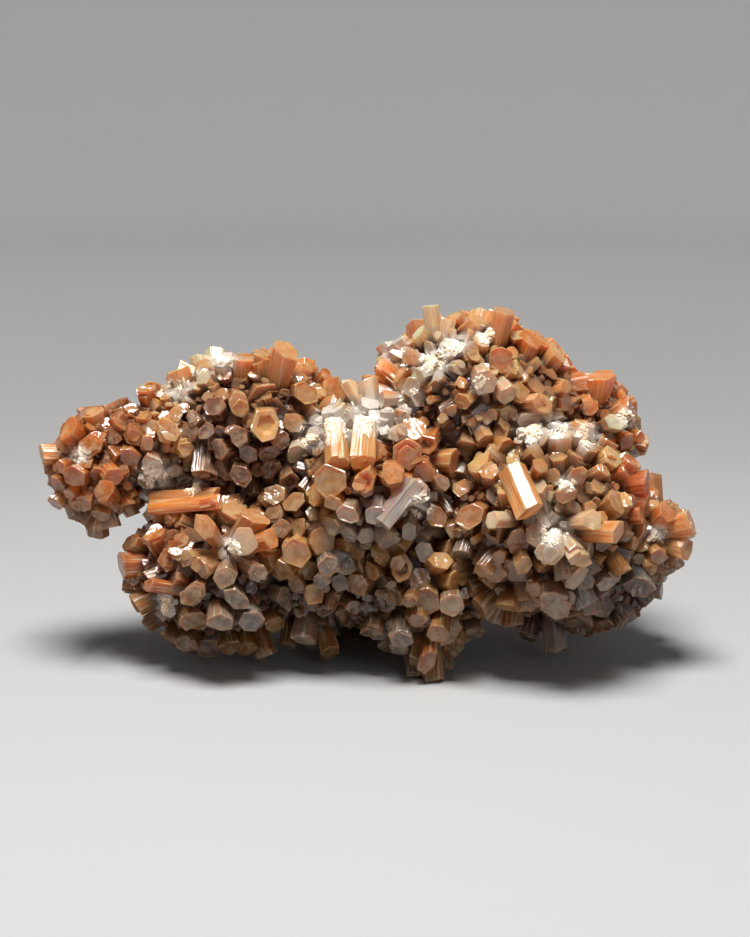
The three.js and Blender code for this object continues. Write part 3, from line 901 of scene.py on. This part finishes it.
def set_field(mesh, label, domain, kind_of, values):
    """Puts an array into the mesh as a named attribute."""
    field = mesh.attributes.new(label, kind_of, domain)
    key = {"FLOAT_VECTOR": "vector", "FLOAT_COLOR": "color"}.get(kind_of, "value")
    number = np.int32 if kind_of == "INT" else np.float32
    field.data.foreach_set(key, np.ascontiguousarray(values, number).ravel())


def values_of(items, key, number=float, size=1):
    """One value or vector of every vertex, corner, face or attribute element, as an array."""
    values = np.empty(len(items) * size, number)
    items.foreach_get(key, values)
    return values.reshape(-1, size) if size > 1 else values


def mesh_of(name, vertices, corner_index, face_sizes, fields):
    """A mesh from whole arrays: points, the point of every face corner, and the faces' sizes."""
    mesh = bpy.data.meshes.new(name)
    mesh.vertices.add(len(vertices))
    mesh.vertices.foreach_set("co", (vertices * MM).astype(np.float32).ravel())
    mesh.loops.add(len(corner_index))
    mesh.loops.foreach_set("vertex_index", corner_index.astype(np.int32))
    mesh.polygons.add(len(face_sizes))
    starts = np.concatenate([[0], np.cumsum(face_sizes)[:-1]])
    mesh.polygons.foreach_set("loop_start", starts.astype(np.int32))
    mesh.update(calc_edges=True)
    for label, (domain, kind_of, values) in fields.items():
        set_field(mesh, label, domain, kind_of, values)
    mesh.validate()
    return mesh


def ball(detail=3):
    """Points and triangles of a round ball with radius 1, made of small even triangles."""
    bpy.ops.mesh.primitive_ico_sphere_add(subdivisions=detail, radius=1)
    made = bpy.context.object
    mesh = made.data
    points = values_of(mesh.vertices, "co", size=3)
    triangles = np.array([tuple(p.vertices) for p in mesh.polygons])
    bpy.data.objects.remove(made)
    bpy.data.meshes.remove(mesh)
    return points, triangles


# %% Unite the crystals and the lumps
def boolean(group, operation, meshes):
    """The mesh that a Mesh Boolean node makes of others."""
    settings = {"operation": operation, "solver": "MANIFOLD"}
    return add(group, "GeometryNodeMeshBoolean", meshes, **settings).outputs["Mesh"]


def union_group():
    """Nodes that split a mesh by its prism number, unite the parts, and cut off what lies under
    the floor."""
    group = bpy.data.node_groups.new("unite crystals", "GeometryNodeTree")
    for way in ("INPUT", "OUTPUT"):
        group.interface.new_socket("Geometry", in_out=way, socket_type="NodeSocketGeometry")
    given = add(group, "NodeGroupInput").outputs[0]
    number = add(group, "GeometryNodeInputNamedAttribute", {"Name": "prism"}, data_type="INT")
    parts = {"Geometry": given, "Group ID": number.outputs["Attribute"]}
    split = add(group, "GeometryNodeSplitToInstances", parts, domain="FACE").outputs["Instances"]
    block = add(group, "GeometryNodeMeshCube", {"Size": FLOOR_BLOCK}).outputs["Mesh"]
    place = {"Geometry": block, "Translation": (0, 0, -FLOOR_BLOCK[2] / 2)}
    lowered = add(group, "GeometryNodeTransform", place).outputs["Geometry"]
    whole = boolean(group, "UNION", {1: split})
    add(group, "NodeGroupOutput", {0: boolean(group, "DIFFERENCE", {0: whole, 1: lowered})})
    return group


def united(mesh, group):
    """The mesh after the nodes have run."""
    carrier = placed("crystals before union", mesh)
    modifier = carrier.modifiers.new("unite", "NODES")
    modifier.node_group = group
    depsgraph = bpy.context.evaluated_depsgraph_get()
    result = bpy.data.meshes.new_from_object(carrier.evaluated_get(depsgraph), depsgraph=depsgraph)
    bpy.data.objects.remove(carrier)
    bpy.data.meshes.remove(mesh)
    return result


def grown_together(name, table, lumps):
    """One closed skin of a table's prisms and of some lumps."""
    vertices, own, corners, sizes, numbers, at_end = all_prisms(table)
    ball_points, ball_faces = ball()
    lump_points = lumps[:, None, :3] + lumps[:, None, 3:] * ball_points
    lump_corners = ball_faces.ravel() + len(ball_points) * np.arange(len(lumps))[:, None]
    corners = np.concatenate([corners, lump_corners.ravel() + len(vertices)])
    vertices = np.concatenate([vertices, lump_points.reshape(-1, 3)])
    lump_numbers = np.repeat(len(table["width"]) + np.arange(len(lumps)), len(ball_faces))
    sizes = np.concatenate([sizes, np.full(len(lump_numbers), 3)])
    numbers = np.concatenate([numbers, lump_numbers])
    at_end = np.concatenate([at_end, np.zeros(len(lump_numbers))])
    own = np.concatenate([own, np.zeros((lump_corners.size, 3))])
    rough = mesh_of(name + " before union", vertices - MIDDLE, corners, sizes, {
        "prism": ("FACE", "INT", numbers),
        "cap": ("FACE", "FLOAT", at_end),
        "own": ("CORNER", "FLOAT_VECTOR", own),
    })
    skin = united(rough, union_group())
    skin.name = name
    skin.validate()  # takes out faces that two grains left doubled
    skin.shade_flat()  # crystal faces are flat and meet at sharp edges
    triangles = sum(len(p.vertices) - 2 for p in skin.polygons)
    print(name, "is one skin of", len(skin.polygons), "faces,", triangles, "triangles")
    return skin


# %% [markdown]
# ## Small crystals and powder
#
# Between the big crystals the real thing is never bare: it is lined with small glassy crystals. Where
# the crystals of a star meet sits a white crust of grains, and white ribs run from there along their
# flanks. A painted white would stay smooth at its edge. Here grains and ribs are prisms again, with
# six plain corners, because the eye sees no more on something this small, and they are half sunk
# into the crystals that carry them.

# %% Small crystals in the gaps, white grains on the stars
SMALL_CRYSTALS = {
    "count": 800,
    "first_seed": 50000.0,
    "seed_step": 2000.0,
    "slant": 2.2,
    "low_growth": 1.0,
    "sink": 1.5,
    "reach": [1.2, 4.4],
    "widths": [1.8, 4.2],
    "root_share": 0.9,
    "end": SMALL,
}
LEAST_SMALL_RISE = 1.01  # how far out of every lump a small crystal's tip has to stand
WHITE_SPOTS = [
    # across, up, radius, how many grains
    [-37, 35, 3.5, 198],
    [-10, 68.5, 6.5, 484],
    [1, 71, 6.5, 484],
    [-50, 79, 4, 198],
    [-38, 86, 4, 242],
    [-47, 51.5, 3, 132],
    [-77, 61, 3, 154],
    [17, 86, 5, 330],
    [23, 91, 4, 220],
    [31, 93, 3, 132],
    [7, 90, 4, 176],
    [43, 68, 5, 330],
    [50, 68, 4, 242],
    [58, 66, 4, 220],
    [50, 40, 5, 286],
    [68, 71, 3, 132],
    [14, 47, 4, 198],
    [-55, 19, 4, 176],
    [-57, 56, 5, 286],
    [11, 76, 4, 242],
    [53, 53, 3, 132],
    [30, 80, 3, 110],
    [78, 40, 3, 154],
    [-16, 66, 4, 198],
]
SPOT_SHARES = (0.5, 1.0)  # where a prism is compared with a spot: halfway, and at the tip
GRAINS = {"sink": 0.9, "reach": [-0.1, 0.3], "widths": [0.4, 0.9], "root_share": 0.9}
GRAIN_SEEDS = (90000.0, 500.0)  # the first, and the step from spot to spot
GRAIN_SPREAD = 0.8  # how much of its spot's radius the crust covers
CRUST_DEPTH = 3.0  # how far behind the nearest grain the middle lies that they point away from
DEEPEST_GRAIN = 9.0  # grains farther behind the nearest of their spot are left out
CARRIER_REACH = 9.0  # crystals this far outside a spot may still carry its grains
BLOCK = 500  # places that are compared with all crystals at once
INNER_SHARE = 0.75  # of a crystal's half-width, to tell whether a place is inside it
CRUST = {"star": IN_CRUST, "end": SMALL}  # what grains and ribs have in common
STREAKS = 4  # ribs on each crystal of a star
STREAK_SEED_STEP = 0.11
STREAK_START = 0.25  # where a rib starts, as a share of the way from root to tip
STREAK_ENDS = [0.45, 0.8]  # and where it ends
STREAK_DEPTH = 0.85  # of the half-width, where the flank is
STREAK_WIDTHS = [0.4, 1.2]
STREAK_TAPER = 1.3  # width at the start of a rib, as a share of that at its end


def inside_any(places, table):
    """Whether each place lies inside a prism: nearer to its axis than a share of its half-width,
    and between its root and its end."""
    frames = axes(table)
    length = np.linalg.norm(table["tip"] - table["root"], axis=1)
    found = np.zeros(len(places), bool)
    for block in np.array_split(np.arange(len(places)), max(1, len(places) // BLOCK)):
        away = places[block][:, None] - table["tip"]
        along = np.einsum("pnx,nx->pn", away, frames[:, 2])
        aside = np.sqrt(np.maximum((away**2).sum(-1) - along**2, 0))
        share = 1 + along / length
        half = table["width"] / 2 * between(table["root_share"], 1, share)
        found[block] = ((aside < INNER_SHARE * half) & (along < 0) & (along > -length)).any(axis=1)
    return found


def seen_depth(across, up, table):
    """Depth y at which a sight line first enters a prism or a lump, or the farthest depth where it
    meets none."""
    line = on_sight_line(across, up, SIGHT_DEPTHS)
    solid = inside_any(line, table) | (levels(line).min(axis=1) < 1)
    return SIGHT_DEPTHS[np.argmax(solid)] if solid.any() else SIGHT_DEPTHS[-1]


def near_spot(table, across, up, reach):
    """The prisms that pass within a reach of a spot's sight line, at the tip or halfway."""
    sight = unit(np.array([across, SHEET_Y, up]) - EYE)
    near = np.zeros(len(table["width"]), bool)
    for share in SPOT_SHARES:
        away = between(table["root"], table["tip"], share) - EYE
        near |= np.linalg.norm(np.cross(away, sight), axis=1) < reach
    return chosen(table, near)


def white_grains(table):
    """Short grains round each white spot, pointing away from its middle, which lies a little
    under the outermost skin."""
    made = []
    for n, (across, up, radius, grains) in enumerate(WHITE_SPOTS):
        i = np.arange(grains)
        reach = GRAIN_SPREAD * radius * (i + 0.5) / grains
        turn = i * GOLDEN_ANGLE
        spots = np.stack([across + reach * np.cos(turn), up + reach * np.sin(turn)], axis=1)
        around = near_spot(table, across, up, radius + CARRIER_REACH)
        depths = np.array([seen_depth(a, b, around) for a, b in spots])
        near = depths < depths.min() + DEEPEST_GRAIN
        centre = on_sight_line(across, up, depths.min() + CRUST_DEPTH)
        seed = (GRAIN_SEEDS[0] + GRAIN_SEEDS[1] * n + i)[near]
        places = np.array([on_sight_line(a, b, y) for (a, b), y in zip(spots[near], depths[near])])
        direction = unit(unit(places - centre) + three_chances(seed))
        made.append(grown_at(places, direction, seed, **GRAINS, **CRUST))
    return made


def white_streaks(table):
    """Thin white ribs half sunk into the flanks of each star's crystals. A rib lies a share of the
    half-width away from the axis, and runs from near the star's heart part of the way out."""
    made = []
    t = chosen(table, table["star"] == ON_STAR)
    side, other, _ = np.moveaxis(axes(t), 1, 0)
    squeeze = between(*SQUEEZE, chance(t["seed"], 401))[:, None]
    for k in range(STREAKS):
        seed = t["seed"] + STREAK_SEED_STEP * (k + 1)
        turn = 2 * math.pi * chance(seed, 800)[:, None]
        aside = np.cos(turn) * side + squeeze * np.sin(turn) * other
        start = np.full(len(seed), STREAK_START)
        end = between(*STREAK_ENDS, chance(seed, 801) ** 2)
        ends = []
        for share in (start[:, None], end[:, None]):
            half = t["width"][:, None] / 2 * between(t["root_share"][:, None], 1, share)
            ends.append(between(t["root"], t["tip"], share) + STREAK_DEPTH * half * aside)
        width = between(*STREAK_WIDTHS, chance(seed, 802))
        made.append(crystals(*ends, width, STREAK_TAPER, seed, **CRUST))
    return made


wished_small = standing(**SMALL_CRYSTALS)
small_tips = wished_small["tip"]
clear = ~inside_any(small_tips, prisms) & inside_outline(on_sheet(small_tips))
clear &= levels(small_tips).min(axis=1) > LEAST_SMALL_RISE
small = chosen(wished_small, clear)
grains = joined([*white_grains(prisms), *white_streaks(grown)])
print(len(small["width"]), "small crystals and", len(grains["width"]), "grains")

# %% [markdown]
# ## What each crystal knows about itself
#
# A pattern that follows the crystals has to know where on its crystal a spot lies. The union keeps
# each corner's own place: across the prism, and along it from its end. More facts are written onto
# the finished mesh as attributes: the crystal's half-width, body colour and number, how white a
# spot is, and how far it lies out of the lumps, which sets how much painted shade darkens the deep
# gaps. The body colour is also darker low down, partly for clearer crystal, partly as painted shade.

# %% Attributes for the material
LOOK_REACH = 17.0  # up to this far from a rosette of the front, crystals take after it
NUMBERS = 997.0  # crystals are numbered up to here, and then from 0 again
BACK_LOOKS = np.array([ORANGE, PEACH, HONEY, PEACH, ORANGE, HONEY, CREAM, BROWN])
LOW_LOOKS = np.array([SMOKE, BROWN, HONEY, SMOKE])
LOW = 28.0  # height under which the back takes the darker looks
# for each colour of the palette, the one that it is mixed with
MIXES_WITH = np.array([PEACH, ORANGE, PEACH, PEACH, HONEY, HONEY, BROWN, ORANGE, ORANGE])
MOST_MIXING = 0.45  # with a neighbour in the palette
SHADES = [0.72, 1.14]  # from the darkest crystal to the lightest
PALEST = 0.95
LOW_CLEARING_AND_SHADE = 0.45  # the lower crystals are darker: partly clearer crystal, partly painted shade from the light above
LOW_HEIGHTS = [12.0, 55.0]
HIGH_HEIGHTS = [72.0, 95.0]
HIGH_GAP_SHADE_EASING = 1.9  # the painted shade in the gaps is spread this much thinner on the highest crystals, so their gaps are paler
STAR_STREAKS = [3.0, 11.0]  # how far from a star's heart the white fades out
SPOT_FADE = [0.6, 1.6]  # where a white spot starts and ends to fade, as shares of its radius
SPOT_DEPTH = 4.0  # what lies farther behind a white spot than this stays clear
SPOT_WHITENESS = 0.65


def rise_over_lumps(places):
    """How far out of the lumps a point lies, in millimetres: the distance to the nearest lump's
    middle, less the part of it that is inside."""
    level = levels(places)
    nearest = level.argmin(axis=1)
    away = np.linalg.norm(places - LUMPS[nearest, :3], axis=1)
    return away * (1 - 1 / np.maximum(level.min(axis=1), 1e-6))


def whiteness_of_spots(places):
    """1 in the middle of a white spot, and less and less towards its edge."""
    amount = np.zeros(len(places))
    for across, up, radius, _ in WHITE_SPOTS:
        far = np.linalg.norm(on_sheet(places) - (across, up), axis=1)
        front_side = places[:, 1] < place_seen_at(across, up)[1] + SPOT_DEPTH
        amount = np.maximum(amount, front_side * (1 - smooth(*SPOT_FADE, far / radius)))
    return amount


def body_colours(table):
    """Each crystal's colour: its row's, that of the nearest rosette of the front, or one by
    chance, mixed with a neighbour in the palette and made a little darker or lighter. Low down it
    is darker, partly for clearer crystal and partly as painted shade."""
    seed = np.floor(table["seed"])
    palette = np.array(list(PALETTE.values()))
    far = np.linalg.norm(table["tip"][:, None] - seen_places, axis=2)
    of_rosette = np.array([row[3] for row in ROSETTES])[far.argmin(axis=1)]
    pick = chance(seed, 900)
    low_look = LOW_LOOKS[(pick * len(LOW_LOOKS)).astype(int)]
    back_look = BACK_LOOKS[(pick * len(BACK_LOOKS)).astype(int)]
    by_chance = np.where(table["tip"][:, 2] < LOW, low_look, back_look)
    by_place = np.where(far.min(axis=1) < LOOK_REACH, of_rosette, by_chance)
    look = np.where(table["look"] == BY_PLACE, by_place, table["look"]).astype(int)
    share = MOST_MIXING * chance(seed, 901)[:, None]
    shade = between(*SHADES, chance(seed, 902))[:, None]
    # darker low down: partly the clearer crystal there, partly painted shade
    shade = shade * between(LOW_CLEARING_AND_SHADE, 1, smooth(*LOW_HEIGHTS, table["tip"][:, 2]))[:, None]
    return np.clip(between(palette[look], palette[MIXES_WITH[look]], share) * shade, 0, PALEST)


def add_fields(mesh, table):
    """Writes what the material needs to know onto the mesh."""
    prism = values_of(mesh.attributes["prism"].data, "value", np.int32)
    is_crystal = prism < len(table["width"])
    prism = np.where(is_crystal, prism, 0)
    corner_counts = values_of(mesh.polygons, "loop_total", np.int32)
    face_of_corner = np.repeat(np.arange(len(mesh.polygons)), corner_counts)
    vertex_of_corner = values_of(mesh.loops, "vertex_index", np.int32)
    places = values_of(mesh.vertices, "co", size=3) / MM + MIDDLE
    own_prism = prism[face_of_corner]
    from_heart = np.linalg.norm(places[vertex_of_corner] - table["heart"][own_prism], axis=1)
    star = table["star"][own_prism] * is_crystal[face_of_corner]
    white = np.where(star == IN_CRUST, 1.0, star * (1 - smooth(*STAR_STREAKS, from_heart)))
    white = np.maximum(white, SPOT_WHITENESS * whiteness_of_spots(places)[vertex_of_corner])
    colours = np.where(is_crystal[:, None], body_colours(table)[prism], PALETTE["umber"])
    colours = np.column_stack([colours, np.ones(len(colours))])
    set_field(mesh, "body", "FACE", "FLOAT_COLOR", colours)
    set_field(mesh, "half", "FACE", "FLOAT", np.where(is_crystal, table["width"][prism] / 2, 1))
    set_field(mesh, "number", "FACE", "FLOAT", np.floor(table["seed"])[prism] % NUMBERS)
    set_field(mesh, "white", "CORNER", "FLOAT", white)
    # the stored rise sets the painted shade in the gaps; it is stretched on the highest crystals, so
    # their gaps get less of it
    gap_shade_easing = between(1, HIGH_GAP_SHADE_EASING, smooth(*HIGH_HEIGHTS, places[:, 2]))
    set_field(mesh, "rise", "POINT", "FLOAT", rise_over_lumps(places) * gap_shade_easing)


# %% [markdown]
# ## The finish: cloudy crystal full of light
#
# Aragonite is clear only in thin splinters. Light goes in, is scattered by clouds and cracks, and
# comes out again coloured, so edges glow and nothing looks painted. A plain diffuse colour would
# look like clay, and plain glass would show only the crystals behind. The finish mixes both: most of
# the light is scattered under the surface, and some passes straight through and is absorbed on
# its way, blue first. Colour follows each crystal: a clouded middle and a pale rim on its end, and
# streaks along its flanks. The rim is partly milky zoning and partly painted glow, the pale edge
# at the end of each flank is painted glow, and painted shade darkens the crystals deep in the gaps.
# The flanks are finely ribbed, and the ends are glossy and a little uneven, so that a mirrored lamp
# breaks up. Powder lets no light in: there the inner glow falls to nothing.

# %% Helpers for materials
def new_material(name):
    """A new material, with its node tree and its shader."""
    material = bpy.data.materials.new(name)
    material.use_nodes = True
    return material, material.node_tree, material.node_tree.nodes["Principled BSDF"]


def attribute(tree, name, output="Fac"):
    """A mesh attribute as a number, vector or colour."""
    return add(tree, "ShaderNodeAttribute", attribute_name=name).outputs[output]


def mix(tree, share, a, b):
    """Colour a, with the given share of colour b."""
    a, b = [c if isinstance(c, bpy.types.NodeSocket) else (*c, 1) for c in (a, b)]
    return add(tree, "ShaderNodeMix", {"Factor": share, 6: a, 7: b}, data_type="RGBA").outputs[2]


def maths(tree, operation, a, b=0.0):
    """One step of arithmetic with two numbers."""
    return add(tree, "ShaderNodeMath", {0: a, 1: b}, operation=operation).outputs[0]


def ranged(tree, value, low, high, start=0.0, end=1.0):
    """The start value where the input is low, the end value where it is high, smooth between."""
    values = {0: value, 1: low, 2: high, 3: start, 4: end}
    return add(tree, "ShaderNodeMapRange", values, interpolation_type="SMOOTHSTEP").outputs[0]


def stretched_noise(tree, own, number, scales, detail):
    """Noise in the crystal's own axes, different for each crystal."""
    scaled = add(tree, "ShaderNodeVectorMath", {0: own, 1: scales}, operation="MULTIPLY").outputs[0]
    shift = add(tree, "ShaderNodeCombineXYZ", {2: number}).outputs[0]
    place = add(tree, "ShaderNodeVectorMath", {0: scaled, 1: shift}, operation="ADD").outputs[0]
    values = {"Vector": place, "Scale": 1.0, "Detail": detail}
    return add(tree, "ShaderNodeTexNoise", values).outputs["Fac"]


# %% The aragonite finish
WARM = (0.78, 0.20, 0.035)
MILK = (0.97, 0.76, 0.50)
POWDER = (0.89, 0.81, 0.71)
# painted shade: the dark colour mixed into the crystals deep in the gaps
GAP_SHADE = (0.10, 0.045, 0.035)
STREAK_SCALES = (1.2, 1.2, 0.09)  # of the noise, per millimetre: across, across and along
CLOUD_SCALES = (0.4, 0.4, 0.4)
RIB_SCALES = (2.2, 2.2, 0.12)
POWDER_EDGE = [0.5, 0.95]  # whiteness at which powder starts, and at which it covers all
POWDER_STREAKS = 0.5  # how much the streaks break up the powder's edge
# Marks on a crystal: the two values of a pattern between which they appear, and their strengths there.
CLOUDED_MIDDLE = (0.35, 0.65, 0.0, 0.35)
WARM_RING = (0.3, 0.75, 0.0, 0.15)
# the pale rim: partly milky zoning, partly painted glow where light comes through the thin rim
RIM_ZONING_AND_GLOW = (0.8, 0.95, 0.0, 0.2)
WARM_STREAKS = (0.5, 0.66, 0.0, 0.5)
MILKY_STREAKS = (0.46, 0.32, 0.0, 0.55)
PAINTED_EDGE_GLOW = (-1.2, -0.2, 0.0, 0.2)  # in millimetres from the end: painted glow along the flank's edge at the end
GAP_SHADE_DEPTHS = (0.0, 6.0, 0.9, 0.0)  # in millimetres out of the lumps: painted shade darkens the crystals in the gaps
BUMP = {"Strength": 0.5, "Distance": 0.0005}
FLANK_ROUGHNESS = 0.22
END_ROUGHNESS = 0.18
END_RELIEF = 2.5  # unevenness of the ends, as a share of that of the flanks
GLOW = 0.8  # share of the light that is scattered inside, where there is no powder
INNER_GLOW = {
    "Subsurface Radius": (1.0, 0.42, 0.18),
    "Subsurface Scale": 0.003,
    "Transmission Weight": 0.62,
    "IOR": 1.6,
}
ABSORBED = {"Color": (0.98, 0.66, 0.36, 1), "Density": 45.0}


def radial_share(tree, parts):
    """How far a spot lies from its crystal's axis, as a share of the crystal's half-width: the
    root of x * x + y * y, divided by the half-width."""
    squares = [maths(tree, "MULTIPLY", parts[k], parts[k]) for k in (0, 1)]
    radius = maths(tree, "SQRT", maths(tree, "ADD", *squares))
    return maths(tree, "DIVIDE", radius, attribute(tree, "half"))


def end_colour(tree, body, cloud, radial):
    """Ends have a clouded middle, a warmer ring and a thin pale rim, which is partly milky zoning and
    partly painted glow.
    """
    colour = mix(tree, ranged(tree, cloud, *CLOUDED_MIDDLE), body, MILK)
    colour = mix(tree, ranged(tree, radial, *WARM_RING), colour, WARM)
    return mix(tree, ranged(tree, radial, *RIM_ZONING_AND_GLOW), colour, MILK)


def flank_colour(tree, body, streak, height):
    """Flanks have warm and milky streaks, and a pale edge at the end that is painted glow."""
    colour = mix(tree, ranged(tree, streak, *WARM_STREAKS), body, WARM)
    colour = mix(tree, ranged(tree, streak, *MILKY_STREAKS), colour, MILK)
    return mix(tree, ranged(tree, height, *PAINTED_EDGE_GLOW), colour, MILK)


def uneven_surface(tree, own, number, cap, cloud):
    """Fine ribs along the flanks, and soft unevenness on the ends."""
    ribs = stretched_noise(tree, own, number, RIB_SCALES, 1.0)
    on_flanks = maths(tree, "MULTIPLY", ribs, ranged(tree, cap, 0.0, 1.0, 1.0, 0.0))
    on_ends = maths(tree, "MULTIPLY", cloud, maths(tree, "MULTIPLY", cap, END_RELIEF))
    relief = maths(tree, "ADD", on_flanks, on_ends)
    return add(tree, "ShaderNodeBump", {"Height": relief, **BUMP}).outputs["Normal"]


def aragonite_material():
    """Cloudy honey-orange crystal, coloured by what the mesh knows about its crystals."""
    material, tree, shader = new_material("aragonite")
    own = attribute(tree, "own", "Vector")
    number = attribute(tree, "number")
    cap = attribute(tree, "cap")
    body = attribute(tree, "body", "Color")
    parts = add(tree, "ShaderNodeSeparateXYZ", {0: own}).outputs
    streak = stretched_noise(tree, own, number, STREAK_SCALES, 3.0)
    cloud = stretched_noise(tree, own, number, CLOUD_SCALES, 2.0)
    flank = flank_colour(tree, body, streak, parts[2])
    end = end_colour(tree, body, cloud, radial_share(tree, parts))
    colour = mix(tree, cap, flank, end)
    # painted shade: crystals darken towards the lumps, deep in the gaps
    colour = mix(tree, ranged(tree, attribute(tree, "rise"), *GAP_SHADE_DEPTHS), colour, GAP_SHADE)
    broken = maths(tree, "MULTIPLY", streak, POWDER_STREAKS)
    cover = maths(tree, "ADD", attribute(tree, "white"), broken)
    fill(tree, shader, {
        "Base Color": mix(tree, ranged(tree, cover, *POWDER_EDGE), colour, POWDER),
        "Subsurface Weight": ranged(tree, cover, *POWDER_EDGE, GLOW, 0.0),
        "Roughness": ranged(tree, cap, 0.0, 1.0, FLANK_ROUGHNESS, END_ROUGHNESS),
        "Normal": uneven_surface(tree, own, number, cap, cloud),
        **INNER_GLOW,
    })
    volume = add(tree, "ShaderNodeVolumeAbsorption", ABSORBED).outputs[0]
    fill(tree, tree.nodes["Material Output"], {"Volume": volume})
    print("the finish has", len(tree.nodes), "nodes")
    return material


# %% The white crust's finish
CRUST_TINTS = [(0.77, 0.70, 0.61), (0.76, 0.60, 0.44)]
PATCH_SCALE = 0.8
MILKY_PATCHES = (0.4, 0.7, 0.0, 0.4)
CHALK = {"Roughness": 0.7, "Specular IOR Level": 0.25}


def crust_material():
    """Chalky grains, each between two tints, with faint milky patches."""
    material, tree, shader = new_material("white crust")
    place = {"Vector": attribute(tree, "own", "Vector"), "Scale": PATCH_SCALE}
    patches = add(tree, "ShaderNodeTexNoise", place).outputs["Fac"]
    number = maths(tree, "DIVIDE", attribute(tree, "number"), NUMBERS)
    colour = mix(tree, number, *CRUST_TINTS)
    colour = mix(tree, ranged(tree, patches, *MILKY_PATCHES), colour, MILK)
    fill(tree, shader, {"Base Color": colour, **CHALK})
    return material


finish = aragonite_material()
crust_finish = crust_material()

# %% [markdown]
# ## The finished pieces
#
# All crystals in one skin would be too many triangles for one mesh, so the cluster is made in a few
# parts that pass into each other: left, middle and right, the small crystals, and the white crust.
# Each stands for the same CAD solid.

# %% Grow the pieces and put them in place
PARTING = [-21.0, 24.0]  # across, where the left part and the right part begin


def finished(name, table, lumps, material):
    """A finished piece of the cluster."""
    mesh = grown_together(name, table, lumps)
    add_fields(mesh, table)
    mesh.materials.clear()
    mesh.materials.append(material)
    piece = placed(name, mesh)
    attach(piece, "root")
    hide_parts(NODE)
    return piece


part_of_prism = np.searchsorted(PARTING, prisms["tip"][:, 0])
part_of_lump = np.searchsorted(PARTING, LUMPS[:, 0])
for part, side in enumerate(("left", "middle", "right")):
    some = chosen(prisms, part_of_prism == part)
    finished(f"{side}_crystals", some, LUMPS[part_of_lump == part], finish)
finished("small_crystals", small, LUMPS[:0], finish)
finished("white_crust", grains, LUMPS[:0], crust_finish)

# %% [markdown]
# ## Floor, light and camera
#
# A pale bowl, flat under the cluster and curving up all round it, leaves no line at the back. One
# large soft light hangs over the cluster and a little in front of it, so the tops are brightest and
# the deep gaps stay dark. A smaller one in front lights the shaded side softly and is what
# the flat ends mirror as glints.

# %% Floor
FLOOR_RADIUS = 1.1  # the floor is flat up to here
BOWL_RADIUS = 0.7  # of the curve between floor and wall
WALL_TOP = 1.2
ROUND_STEPS = 96
CURVE_STEPS = 16
FLOOR_TONE = (0.30, 0.295, 0.29)
WALL_TONE = (0.80, 0.79, 0.78)
PAINTED_FALLOFF_SPAN = [0.25, 1.3]  # how far from the middle the floor's tone starts and ends to change: painted light that makes up for the lamp's falloff


def bowl_mesh():
    """A profile turned about the upright axis: a flat disc, a quarter circle, then a wall. Its
    faces are those of a long prism without its end, turned to face inwards."""
    curve = np.linspace(0, math.pi / 2, CURVE_STEPS)
    radius = np.append(FLOOR_RADIUS + BOWL_RADIUS * np.sin(curve), FLOOR_RADIUS + BOWL_RADIUS)
    height = np.append(BOWL_RADIUS * (1 - np.cos(curve)), WALL_TOP)
    turn = np.linspace(0, 2 * math.pi, ROUND_STEPS, endpoint=False)
    points = np.stack([
        radius[:, None] * np.cos(turn),
        radius[:, None] * np.sin(turn),
        np.broadcast_to(height[:, None], (len(radius), ROUND_STEPS)),
    ], axis=-1).reshape(-1, 3)
    rings = prism_faces(len(radius), ROUND_STEPS)[:-1]
    faces = [[int(corner) for corner in reversed(face)] for face in rings]
    mesh = bpy.data.meshes.new("floor")
    mesh.from_pydata(points.tolist(), [], faces)
    mesh.polygons.foreach_set("use_smooth", [True] * len(faces))
    return mesh


def floor_material():
    """A matt tone, paler towards the wall as painted light, where the lamp reaches less."""
    material, tree, shader = new_material("pale floor")
    place = add(tree, "ShaderNodeTexCoord").outputs["Object"]
    far = add(tree, "ShaderNodeVectorMath", {0: place}, operation="LENGTH").outputs["Value"]
    tone = mix(tree, ranged(tree, far, *PAINTED_FALLOFF_SPAN), FLOOR_TONE, WALL_TONE)
    fill(tree, shader, {"Base Color": tone, "Roughness": 0.7})
    return material


floor_mesh = bowl_mesh()
floor_mesh.materials.append(floor_material())
floor = placed("floor", floor_mesh)


# %% Lights
def area_light(name, place, target, size, power, colour=(1, 1, 1)):
    """A rectangular light of some watts that faces a target."""
    lamp = bpy.data.lights.new(name, "AREA")
    lamp.shape = "RECTANGLE"
    lamp.size, lamp.size_y = size
    lamp.energy = power
    lamp.color = colour
    made = placed(name, lamp)
    made.location = place
    made.rotation_euler = (Vector(target) - Vector(place)).to_track_quat("-Z", "Y").to_euler()


CENTRE = (0, 0, 0.05)
COOL = (0.95, 0.97, 1)
area_light("softbox above", (-0.04, -0.22, 0.8), CENTRE, size=(0.34, 0.3), power=16.2)
area_light("front light", (0.5, -1.0, 0.5), CENTRE, size=(0.35, 0.35), power=1.3, colour=COOL)
world = bpy.data.worlds.new("studio")
bpy.context.scene.world = world
world.use_nodes = True
background = world.node_tree.nodes["Background"]
fill(world.node_tree, background, {"Color": (0.9, 0.92, 1.0, 1), "Strength": 0.12})
# plain sRGB, because the default view washes out strong warm colours
bpy.context.scene.view_settings.view_transform = "Standard"

# %% Camera
lens = bpy.data.cameras.new("camera")
lens.lens = 85
lens.sensor_width = 36
camera = placed("camera", lens)
camera.location = (0.0028, -0.5988, 0.1798)
camera.rotation_euler = (math.radians(78), 0, 0)
bpy.context.scene.camera = camera
